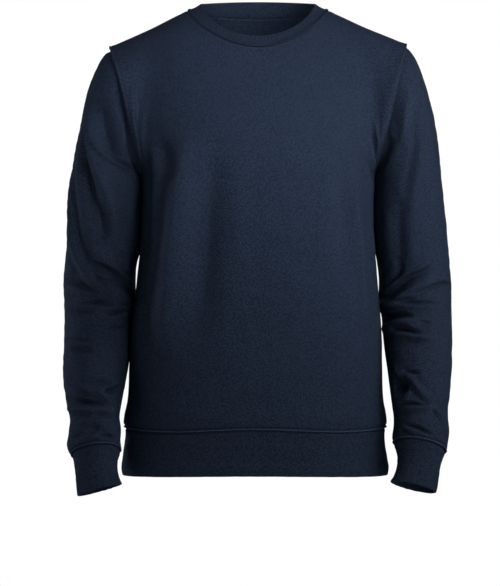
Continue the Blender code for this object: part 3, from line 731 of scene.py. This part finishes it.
Sleeve = namedtuple("Sleeve", "name side rings cuff_seam cuff_end high_sink low_sink")
RIGHT = Sleeve("right", -1, RINGS_RIGHT, -0.6580, -0.7100, 0.45, 1.30)
LEFT = Sleeve("left", 1, RINGS_LEFT, -0.6500, -0.7060, 0.28, 0.45)

# Beside the armhole the sleeve drops away under the body's stitched edge, by high_sink times this
# above SINK_LEVELS and by low_sink times this below them.
SLEEVE_SINK = (
    (0, 0), (0.8, -3.5), (1.8, -8.0), (3.0, -10.5), (4.6, -9.4), (6.5, -6.6), (10, -3.6),
    (16, -1.3), (24, 0),
)
SINK_LEVELS = (-0.090, -0.150)
SLEEVE_WAVE = 0.10

# On a sleeve a crease's points are (degrees round it, drop): 0 is its front, 90 its outer side.
DEGREE = np.radians(1) * SLEEVE_RADIUS
CREASES_RIGHT = crease_table((
    ((8, 5, -10.8, 0.3), (74, 235), (68, 260), (62, 290), (54, 318.7), (45, 347.5), (29, 374.2),
     (12, 396.9), (-3, 419.3), (-30, 439), (-67, 448)),
    ((7, 6, -4.2), (13, 358.5), (-6, 369.7), (-30, 382.8), (-47, 393.9)),
    ((4, 6.2, 14, 0.5), (13, 376.3), (-1, 380.5), (-16, 386.8), (-35, 397.6), (-56, 409.6),
     (-71, 415.5)),
    ((2.3, 2.3, 5.3), (2, 400.9), (-11, 403), (-28, 403.5)),
    ((4.5, 3.8, 6.2), (67, 401.6), (31, 407.9), (16, 415.5), (-3, 423.4)),
    ((6, 5, -2.9), (57, 411.8), (22, 419.8), (2, 425.5)),
    ((2.8, 2.8, 6.8, 0.3), (25, 439.1), (-1, 435.8), (-28, 438.9)),
    ((4, 4, -3.5), (41, 442.9), (8, 444.4), (-45, 446.8)),
    ((3.2, 2.8, 4.6), (60, 448), (28, 450.2), (5, 452.8)),
    ((3.1, 3.1, 7.1), (-21, 453.1), (-39, 450.4), (-69, 450.4)),
    ((3.1, 3.1, 6), (-23, 470.6), (-41, 470.3), (-56, 470.5)),
    ((6, 6, 3), (41, 478.1), (13, 481.3), (-26, 486)),
    ((3.2, 2.8, 4.6, 0.3), (63, 491.8), (22, 493.1), (-6, 495.9)),
    ((4, 4, -3.3), (63, 498.8), (28, 498.5), (-3, 500.3)),
    ((3.9, 3.9, 4.7), (47, 506.6), (19, 508.7), (2, 509.6)),
    ((7, 6, -6.9), (67, 554.5), (28, 562.9), (5, 567.4), (-14, 569.3), (-30, 577.6), (-51, 587.6),
     (-70, 600.8)),
    ((5, 6, -4.9), (-11, 566.9), (-33, 560.7), (-61, 553.5)),
    ((3.1, 4.2, 7), (-21, 567.1), (-41, 566.5), (-69, 559.9)),
    ((3.1, 3.1, 4.3), (-1, 554.9), (-14, 552.3), (-28, 550.7)),
    ((6.5, 4, 7, 0.4), (70, 577.1), (28, 582.5), (2, 584.7), (-26, 587.3)),
    ((6, 5, -6.4), (80, 594), (11, 595), (-28, 594.7), (-61, 603.5)),
    ((3.1, 3.6, 7), (2, 603.1), (-19, 600.7), (-51, 601.7)),
    ((6, 6, 6.2), (30, 622.8), (2, 618.7), (-30, 622.4)),
    ((4.5, 3.5, 4.6), (73, 635), (47, 634.6), (31, 635.9)),
    ((5, 4, -7.2), (44, 645.4), (8, 634.7), (-21, 623.7)),
    ((3.1, 4.2, 7), (-14, 633.6), (-33, 631.8), (-59, 638.5)),
    ((3.1, 3.1, 4.3), (16, 642.3), (2, 640.8), (-16, 640.1)),
    ((11, 12, -11.5, -0.3), (37, 160), (30, 194.7), (20, 222.8), (8, 245.7), (-5, 275.7),
     (-15, 305.4), (-22, 345)),
    ((6, 9, 12), (54, 175), (48, 198.6), (37, 235.5), (26, 264.4), (17, 291), (6, 310.3),
     (-5, 345)),
    ((4, 4, -3.9), (66, 125), (60, 142.9), (44, 168.7), (34, 196.8), (28, 215)),
    ((15, 12, 16.5, -0.65), (46, 134), (38, 145.8), (25, 163.7), (16, 181.9), (2, 201.7),
     (-16, 216.2), (-39, 225.7), (-68, 237)),
    ((8, 7, 9), (-145, 442), (-120, 430), (-92, 420)),
    ((9, 8, 7), (148, 396), (182, 387), (216, 371)),
    ((9, 8, 7), (118, 482), (160, 484), (202, 469)),
    ((8, 7, 9), (108, 588), (150, 597), (192, 596)),
    ((7, 6, 8.4), (148, 619), (200, 634), (250, 633)),
    ((8, 8, -4.7), (112, 452), (150, 446), (196, 431)),
    ((8, 7, -6.1), (120, 566), (160, 575), (206, 571)),
), DEGREE)
CREASES_LEFT = crease_table((
    ((6, 5, 4.4), (-28, 370.5), (-30, 389.4), (-58, 411.6)),
    ((6, 5, -3.4), (-26, 395.4), (2, 385), (22, 374.8)),
    ((5.5, 4.5, 11.5, 0.4), (-66, 429.8), (-41, 416.4), (-23, 405.3), (-11, 399.1), (5, 393),
     (22, 383.1)),
    ((6, 4, -5.3), (-80, 440.9), (-43, 435.5), (-21, 425.3), (-1, 414.7), (22, 411.2)),
    ((2.3, 2.3, 3.8), (-37, 437), (-23, 433.7), (-9, 430.9)),
    ((2.5, 3.1, 6.2), (-1, 424.7), (19, 415.1), (38, 410.1), (80, 411.6)),
    ((2.3, 2.3, 5.3, 0.3), (-30, 438.4), (-1, 437), (34, 438.7)),
    ((6, 4, -4.4), (-140, 442), (-100, 440), (-54, 441.2), (-16, 443.6), (25, 444.3)),
    ((8, 3.5, 11, 0.3), (-150, 464), (-110, 460.5), (-70, 458.6), (-47, 456.8), (-28, 454.6),
     (-9, 457.8)),
    ((5, 4, -4.4), (-52, 470.3), (-26, 464.9), (-3, 464)),
    ((2.3, 2.3, 3.8), (-1, 466.2), (8, 466.5), (19, 469.5)),
    ((6, 3, 7.6), (-54, 477.1), (-33, 476.1), (-16, 479.2), (2, 481.3)),
    ((5, 4, -5.3), (-76, 479.2), (-41, 483.6), (-16, 487.8), (25, 487.6)),
    ((3.1, 3.1, 4.3), (-30, 493.2), (-6, 494.2), (16, 493.2)),
    ((3.9, 3.9, 2.4), (-6, 505.3), (11, 508.3), (31, 511)),
    ((2.3, 2.3, 4.8), (-33, 538.2), (-14, 539.4), (-1, 539.5)),
    ((11, 8, 16.5), (-67, 558), (-47, 560.9), (-28, 554)),
    ((5, 5, -5.6), (-39, 543.6), (-19, 551.1), (-9, 562.7), (8, 575.4), (28, 578.2)),
    ((2.5, 2.3, 5.5, 0.3), (-54, 587.3), (-23, 584.1), (2, 587)),
    ((4, 4, -4.4), (-61, 590.8), (-28, 593.7), (-1, 591.6), (22, 587)),
    ((3.1, 3.1, 6.2), (19, 593.8), (34, 603.5), (44, 614.9)),
    ((2.7, 2.7, 5.8), (-43, 615.4), (-14, 618.8), (5, 625.4), (25, 631.8)),
    ((2.7, 2.7, 5.8), (-51, 622.5), (-30, 628.4), (-11, 635.2)),
    ((6, 5.5, -4), (30, 120), (13, 146.4), (-3, 180), (-14, 204.2)),
    ((5, 8, -5.2), (66, 118.5), (47, 145.1), (28, 182.8), (16, 227.3), (5, 270.1), (-1, 308)),
    ((10, 10, 7.2), (-30, 191.4), (-51, 214.7), (-69, 231.1)),
    ((10, 10, 5.2), (-21, 285.7), (-23, 344.2), (-30, 389.4)),
    ((8, 7, 9), (-150, 449), (-124, 442), (-98, 430)),
    ((9, 8, 7), (140, 393), (172, 388), (206, 376)),
    ((9, 8, 7), (124, 470), (164, 480), (206, 484)),
    ((8, 7, 9), (104, 580), (146, 590), (186, 591)),
    ((7, 6, 8.4), (145, 614), (192, 625), (240, 627)),
    ((8, 8, -4.7), (116, 438), (156, 432), (200, 422)),
    ((8, 7, -4.7), (118, 552), (162, 560), (208, 556)),
), DEGREE)


def sleeve_ring(sleeve, angle, height):
    """Points on a sleeve or cuff ring, by the angle round it in degrees."""
    ring = between(sleeve.rings, height)
    turn, front_up, inner_up = map(np.radians, (angle, ring.front_up, ring.inner_up))
    out, ahead = ring.half_width * np.sin(turn), ring.half_depth * np.cos(turn)
    return xyz(
        sleeve.side * (ring.across + out * np.cos(inner_up)),
        -(ring.forward + ahead * np.cos(front_up)),
        height + ahead * np.sin(front_up) - out * np.sin(inner_up),
    )


def sleeve_angles():
    """Angles of a sleeve's columns, closer together beside the underarm seam."""
    share = np.linspace(0, 1, SLEEVE_COLUMNS + 1)
    crowded = share - UNDERARM_CROWDING * np.sin(2 * np.pi * share) / (2 * np.pi)
    return -90 + 360 * crowded


def sleeve_head(sleeve):
    """The rows from the armhole to the first full ring."""
    angle = sleeve_angles()
    start = armhole(sleeve.side, angle)
    end = sleeve_ring(sleeve, angle, HEAD_FOOT)
    pull = between(HEAD_PULLS, angle)
    leave = xyz(sleeve.side * pull.across, -pull.forward, -pull.down) * pull.length[:, None]
    step = 0.001
    slope = (sleeve_ring(sleeve, angle, HEAD_FOOT - step) - end) / step
    arrive = slope * np.linalg.norm(end - start, axis=-1)[:, None]
    share = steps(HEAD_ROWS, HEAD_LENGTH, True, False)[:-1, None, None]
    return hermite(start, leave, end, arrive, share)


def sleeve_points(sleeve):
    angle = sleeve_angles()
    share = steps(ARM_ROWS, ARM_LENGTH, False, True)[:, None]
    height = blend(HEAD_FOOT, sleeve.cuff_seam, share)
    return np.concatenate([sleeve_head(sleeve), sleeve_ring(sleeve, angle[None, :], height)])


def finished_sleeve(sleeve, creases, seed):
    """The sleeve's outer face from armhole to cuff seam, with its folds and its seams."""
    points = sleeve_points(sleeve)
    across = np.broadcast_to(sleeve_angles() * DEGREE, points.shape[:2])
    lift = WANDER * wander(points, seed, longest=SLEEVE_WAVE)
    half = 180 * DEGREE
    for crease in creases:
        middle = np.mean([at for at, _ in crease.points])
        near = (across - middle + half) % (2 * half) - half + middle
        lift = lift + crease_relief(crease, near, points[..., 2])
    ring = np.linspace(-90, 270, 2 * ARMHOLE_POINTS)
    high, low = SINK_LEVELS
    sink = blend(sleeve.high_sink, sleeve.low_sink, ease((high - points[..., 2]) / (high - low)))
    seams = [
        (armhole(sleeve.side, ring), SLEEVE_SINK, sink),
        (sleeve_ring(sleeve, ring, sleeve.cuff_seam), HEM_ROLL, 1.0),
        (points[:, 0], PLAIN_ROLL, 1.0),
    ]
    return sewn(points, normals(points, True, -sleeve.side), lift, seams)


sleeve_faces = {}
for sleeve, creases, seed in ((RIGHT, CREASES_RIGHT, 11), (LEFT, CREASES_LEFT, 12)):
    sleeve_faces[sleeve.name] = finished_sleeve(sleeve, creases, seed)
    name = "sleeve_" + sleeve.name
    piece = shell(name + "_cloth", sleeve_faces[sleeve.name], -sleeve.side, True)
    wear(piece, name, fleece)

# ---- Neckband --------------------------------------------
# The neckband is a strip of rib folded double along its top edge and sewn to the neckline
# slightly stretched, so that it stands up and leans in round the neck.
NECK_RIB = 0.0026
BAND_TOP_HALF_WIDTH = 0.0845
BAND_TOP_SIDE = 0.0085
BAND_TOP_FRONT = (-0.0625, -0.0460)
BAND_TOP_BACK = (0.0525, 0.0180)
BAND_TOP_DIP = 1.27
BAND_HEIGHT = 0.023
BAND_ROWS = 8
BAND_BULGE = 0.0010
BULGE_POWER = 0.8
BAND_ROLL = (
    (0, 0), (0.5, -0.4), (1.2, -0.4), (1.8, 0.1), (2.6, 0.8), (3.6, 1.15), (6, 1.1), (10, 0.6),
    (16, 0.2), (22, 0),
)
RIB_WIDTH = 0.0017
rib = knit("navy rib", RIB_WIDTH)


def band_top(panel, turn):
    far_y, far_z = BAND_TOP_FRONT if panel is FRONT else BAND_TOP_BACK
    dip = np.maximum(np.cos(turn), 0)
    z = blend(BAND_TOP_SIDE, far_z, dip**BAND_TOP_DIP)
    return xyz(BAND_TOP_HALF_WIDTH * np.sin(turn), far_y * dip, z)


def doubled(name, outer, side, thickness):
    """A strip folded double: down its outer face, round the fold and back up the inside."""
    way = normals(outer, True, side)
    inner = outer - way * thickness
    middle = (outer[-1] + inner[-1]) / 2
    along = unit(outer[-1] - outer[-2])
    crown = [
        middle + thickness / 2 * (way[-1] * np.cos(turn) + along * np.sin(turn))
        for turn in np.radians(range(30, 180, 30))
    ]
    loop = np.array([*outer, *crown, *inner[::-1]])
    rows, columns = loop.shape[:2]
    row, column = np.mgrid[0:rows, 0 : columns - 1]
    below = (row + 1) % rows
    quads = ((0, row, column), (0, row, column + 1), (0, below, column + 1), (0, below, column))
    return cloth_piece(name, loop[None], [quads], side, True)


def all_round(row_of, places):
    return np.concatenate([row_of(FRONT, places), row_of(BACK, places[-2::-1])])


def sewn_band(points, side, lift):
    """A band's outer face, rising from its seam in the first row."""
    return sewn(points, normals(points, True, side), lift, [(points[0], BAND_ROLL, 1.0)])


quarter = np.linspace(-1, 1, 4 * NECK_COLUMNS + 1) * np.pi / 2
seam, top = all_round(neckline, quarter), all_round(band_top, quarter)
share = steps(BAND_ROWS, BAND_HEIGHT, True, False)
band = np.array([blend(seam, top, at) for at in share])
bulge = BAND_BULGE * np.sin(np.pi * share) ** BULGE_POWER
band = sewn_band(band, -1, bulge[:, None])
neckband = doubled("neckband_cloth", band, -1, NECK_RIB)
wear(neckband, "neckband", rib)

# ---- Hem band --------------------------------------------
# The hem band is a wide strip of the same rib, folded double at its lower edge. It is shorter
# than the body above, so it draws the fleece in and the fleece blouses a little over it.
HEM_RIB = 0.0032
HEM_END = -0.6935
HEM_END_RISE = 0.0045
HEM_HEIGHT = 0.068
HEM_BAND_ROWS = 24
HEM_WANDER = 0.00025
HEM_WAVE = 0.09


def hem_end(place):
    return HEM_END + HEM_END_RISE * np.cos(place * np.pi / 2) ** 2


def hem_row(share):
    """One row round the band, at a share of the way down from its seam."""

    def part(panel, at):
        return body_ring(panel, at, blend(hem_seam(at), hem_end(at), share))

    return all_round(part, panel_places())


hem = np.array([hem_row(share) for share in steps(HEM_BAND_ROWS, HEM_HEIGHT, True, False)])
hem = sewn_band(hem, -1, HEM_WANDER * wander(hem, 21, longest=HEM_WAVE))
hem_band = doubled("hem_band_cloth", hem, -1, HEM_RIB)
wear(hem_band, "hem_band", rib)

# ---- Cuffs -----------------------------------------------
# A cuff is a short tube of the same rib, folded double at the wrist. It is sewn to the gathered
# end of the sleeve, which slumps in folds above it.
CUFF_RIB = 0.0030
CUFF_HEIGHT = 0.055
CUFF_ROWS = 20
CUFF_WANDER = 0.00035
CUFF_WAVE = 0.05
for sleeve in (RIGHT, LEFT):
    share = steps(CUFF_ROWS, CUFF_HEIGHT, True, False)
    heights = blend(sleeve.cuff_seam, sleeve.cuff_end, share)
    points = sleeve_ring(sleeve, sleeve_angles()[None, :], heights[:, None])
    uneven = CUFF_WANDER * wander(points, 31 + sleeve.side, longest=CUFF_WAVE)
    points = sewn_band(points, -sleeve.side, uneven)
    name = "cuff_" + sleeve.name
    cuff = doubled(name + "_cloth", points, -sleeve.side, CUFF_RIB)
    wear(cuff, name, rib)

# ---- Topstitching ----------------------------------------
# The turnings are sewn down on the fleece with short stitches. Above the hem band and the cuffs
# runs one row of thread much lighter than the cloth: partly a pale thread, partly a painted
# highlight where the rolled edge above the seam catches the light. The thread of the twin rows on
# the body round the armholes, and of the one row under the neckband, is nearly as dark as the cloth.
THREAD_NAVY = (0.034, 0.050, 0.088)
# Partly a pale thread and partly painted highlight, for the bright line where the rolled edge catches
# the light.
THREAD_PALE_AND_HIGHLIGHT = (0.075, 0.108, 0.180)
THREAD_BALL = {"Segments": 6, "Rings": 4, "Radius": 1.0}
STITCH_LENGTH = 0.0025
STITCH_PITCH = 0.0031
THREAD_RADIUS = 0.00030
PALE_RADIUS = 0.00042
THREAD_SLANT = 0.12
ROW_LIFT = 0.00012
TWIN_ROWS = (0.0020, 0.0044)
HEM_ROWS = (0.0034,)
NECK_ROWS = (0.0027,)
ROWS_BESIDE = 24


def thread(name, colour):
    return new_material(name, Base_Color=(*colour, 1.0), Roughness=0.7, Specular_IOR_Level=0.1)


navy_thread = thread("navy thread", THREAD_NAVY)
# The rows above the hem band and cuffs: partly thread colour, partly painted highlight.
pale_thread_and_highlight = thread("pale navy thread and painted highlight", THREAD_PALE_AND_HIGHLIGHT)


STITCH_INPUTS = {
    "Lines": "Geometry",
    "Stitch length": "Float",
    "Pitch": "Float",
    "Thread radius": "Float",
    "Slant": "Float",
    "Seed": "Int",
    "Thread": "Material",
}


def stitch_tree():
    """Lays a stitch at every pitch along its lines, tilted a little one way or the other."""
    tree = bpy.data.node_groups.new("stitches", "GeometryNodeTree")
    face = tree.interface
    face.new_socket("Geometry", in_out="OUTPUT", socket_type="NodeSocketGeometry")
    for name, kind in STITCH_INPUTS.items():
        face.new_socket(name, in_out="INPUT", socket_type="NodeSocket" + kind)
    given = node(tree, "NodeGroupInput")
    curve = node(tree, "GeometryNodeMeshToCurve", {0: given["Lines"]})
    spacing = {0: curve[0], "Length": given["Pitch"]}
    spots = node(tree, "GeometryNodeResampleCurve", spacing, mode="LENGTH")
    ball = node(tree, "GeometryNodeMeshUVSphere", THREAD_BALL)
    halving = {0: given["Stitch length"], 1: 0.5}
    half = node(tree, "ShaderNodeMath", halving, operation="MULTIPLY")
    sides = {0: given["Thread radius"], 1: given["Thread radius"], 2: half[0]}
    size = node(tree, "ShaderNodeCombineXYZ", sides)
    stitch = node(tree, "GeometryNodeTransform", {0: ball[0], "Scale": size[0]})
    along = node(tree, "GeometryNodeInputTangent")
    most = node(tree, "ShaderNodeCombineXYZ", {i: given["Slant"] for i in range(3)})
    turning = {0: most[0], 1: (-1.0, -1.0, -1.0)}
    least = node(tree, "ShaderNodeVectorMath", turning, operation="MULTIPLY")
    limits = {"Min": least[0], "Max": most[0], "Seed": given["Seed"]}
    tilt = node(tree, "FunctionNodeRandomValue", limits, data_type="FLOAT_VECTOR")
    way = node(tree, "ShaderNodeVectorMath", {0: along[0], 1: tilt[0]}, operation="ADD")
    turned = node(tree, "FunctionNodeAlignRotationToVector", {"Vector": way[0]}, axis="Z")
    laying = {0: spots[0], "Instance": stitch[0], "Rotation": turned[0]}
    laid = node(tree, "GeometryNodeInstanceOnPoints", laying)
    real = node(tree, "GeometryNodeRealizeInstances", {0: laid[0]})
    smoothed = node(tree, "GeometryNodeSetShadeSmooth", {0: real[0]})
    sewn_on = {0: smoothed[0], "Material": given["Thread"]}
    node(tree, "NodeGroupOutput", {0: node(tree, "GeometryNodeSetMaterial", sewn_on)[0]})
    return tree


STITCHES = stitch_tree()


def beside(points, side, tube, distances):
    """The lines at distances from a face's first row, resting on the face."""
    away = lengths(points[:ROWS_BESIDE], 0, 0)
    resting = points[:ROWS_BESIDE] + normals(points, tube, side)[:ROWS_BESIDE] * ROW_LIFT
    at = [
        [np.interp(distances, away[:, column], resting[:, column, i]) for i in range(3)]
        for column in range(points.shape[1])
    ]
    return list(np.array(at).transpose(2, 0, 1))


def stitch_rows(name, lines, seed, thread=navy_thread, radius=THREAD_RADIUS):
    """A piece of topstitching along lines of points."""
    mesh = bpy.data.meshes.new(name)
    counts = np.append(0, np.cumsum([len(line) for line in lines]))
    edges = [(i, i + 1) for a, b in zip(counts, counts[1:]) for i in range(a, b - 1)]
    mesh.from_pydata(np.concatenate(lines).tolist(), edges, [])
    piece = new_object(name, mesh)
    sewing = piece.modifiers.new("sewing", "NODES")
    sewing.node_group = STITCHES
    values = {
        "Stitch length": STITCH_LENGTH,
        "Pitch": STITCH_PITCH,
        "Thread radius": radius,
        "Slant": THREAD_SLANT,
        "Seed": seed,
        "Thread": thread,
    }
    for item in STITCHES.interface.items_tree:
        if item.in_out == "INPUT" and item.name in values:
            sewing[item.identifier] = values[item.name]
    depsgraph = bpy.context.evaluated_depsgraph_get()
    made = bpy.data.meshes.new_from_object(
        piece.evaluated_get(depsgraph), preserve_all_data_layers=True, depsgraph=depsgraph
    )
    piece.modifiers.clear()
    piece.data = made
    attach(piece, "root")


hem_lines, neck_lines, armhole_lines = [], [], {"right": [], "left": []}
for face, panel in ((front_points, FRONT), (back_points, BACK)):
    side = -panel.way
    neck_columns = np.abs(panel_places()) <= NECK_SHARE
    hem_lines += beside(face, side, False, HEM_ROWS)
    neck_lines += beside(face[::-1][:, neck_columns], -side, False, NECK_ROWS)
    yoke_face = face[-(YOKE_ROWS + len(SEAM_STEPS)) :]
    for name, from_side in (("right", yoke_face), ("left", yoke_face[:, ::-1])):
        turned = from_side.transpose(1, 0, 2)
        way = -side if name == "right" else side
        armhole_lines[name] += beside(turned, way, False, TWIN_ROWS)
stitch_rows("hem_stitches", hem_lines, 1, pale_thread_and_highlight, PALE_RADIUS)
stitch_rows("neck_stitches", neck_lines, 2)
stitch_rows("armhole_stitches_right", armhole_lines["right"], 3)
stitch_rows("armhole_stitches_left", armhole_lines["left"], 4)
for sleeve, seed in ((RIGHT, 5), (LEFT, 6)):
    from_cuff = sleeve_faces[sleeve.name][::-1]
    lines = beside(from_cuff, sleeve.side, True, HEM_ROWS)
    stitch_rows("cuff_stitches_" + sleeve.name, lines, seed, pale_thread_and_highlight, PALE_RADIUS)

# ---- Studio ----------------------------------------------
# The floor is pale and far below the garment, and the camera stands level with its middle. Soft
# boxes light it from the right, high, level and low. Two small ones are aimed at the chest, two
# on the left at the sleeve and along the edge, and the largest stands behind.
scene = bpy.context.scene
FLOOR_HEIGHT = -1.45
FLOOR_HALF = 3.0
FLOOR_PALE = (0.82, 0.82, 0.82, 1.0)
floor_mesh = bpy.data.meshes.new("floor")
corners = [(-1, -1), (1, -1), (1, 1), (-1, 1)]
corners = [(x * FLOOR_HALF, y * FLOOR_HALF, FLOOR_HEIGHT) for x, y in corners]
floor_mesh.from_pydata(corners, [], [(0, 1, 2, 3)])
floor_mesh.materials.append(new_material("pale floor", Base_Color=FLOOR_PALE, Roughness=0.9))
floor = new_object("floor", floor_mesh)

# The studio is white to the camera and lights the garment evenly but dimly.
ROOM_LIGHT = 0.12
world = bpy.data.worlds.new("white studio")
scene.world = world
world.use_nodes = True
tree = world.node_tree
seen = node(tree, "ShaderNodeLightPath")["Is Camera Ray"]
strength = {"Value": seen, "To Min": ROOM_LIGHT, "To Max": 1.0}
glow = {"Color": (1.0, 1.0, 1.0, 1.0), "Strength": node(tree, "ShaderNodeMapRange", strength)[0]}
fill(tree, tree.nodes["Background"], glow)

# Each light stands at a distance from its aim, at degrees round to the right and degrees up.
Light = namedtuple("Light", "name round up distance aim width spread energy")
LIGHTS = table(Light, (
    ("key", 42, 30, 2.6, (0.0, 0.0, -0.25), 1.2, 180, 14.0),
    ("chest", -5, 0, 2.2, (-0.03, 0.0, -0.05), 0.4, 16, 0.25),
    ("front right", 28, 0, 2.2, (-0.02, 0.0, -0.18), 0.5, 24, 0.50),
    ("near", 60, 0, 1.1, (0.02, 0.0, -0.05), 0.5, 180, 3.9),
    ("near high", 60, 35, 1.1, (0.02, 0.0, -0.05), 0.5, 180, 1.5),
    ("low", 33, -35, 2.6, (0.0, 0.0, -0.25), 1.2, 180, 17.0),
    ("left sleeve", -112, 3, 1.4, (-0.28, 0.0, -0.42), 0.4, 40, 0.60),
    ("rim", -95, 25, 2.6, (0.0, 0.0, -0.25), 1.2, 180, 8.0),
    ("back", 180, 10, 2.8, (0.0, 0.0, -0.30), 1.6, 180, 45.0),
))
for light in LIGHTS:
    lamp = bpy.data.lights.new(light.name, "AREA")
    lamp.size = light.width
    lamp.spread = np.radians(light.spread)
    lamp.energy = light.energy
    made = new_object(light.name, lamp)
    turn, up = np.radians((light.round, light.up))
    way = Vector((np.sin(turn) * np.cos(up), -np.cos(turn) * np.cos(up), np.sin(up)))
    made.location = Vector(light.aim) + way * light.distance
    made.rotation_euler = way.to_track_quat("Z", "Y").to_euler()

CAMERA_PLACE = (-0.012, -3.7, -0.423)
LENS = 151.55
camera = new_object("camera", bpy.data.cameras.new("camera"))
camera.data.lens = LENS
camera.data.sensor_width = 36.0
camera.location = CAMERA_PLACE
camera.rotation_euler = (np.pi / 2, 0.0, 0.0)
scene.camera = camera
scene.view_settings.view_transform = "Standard"
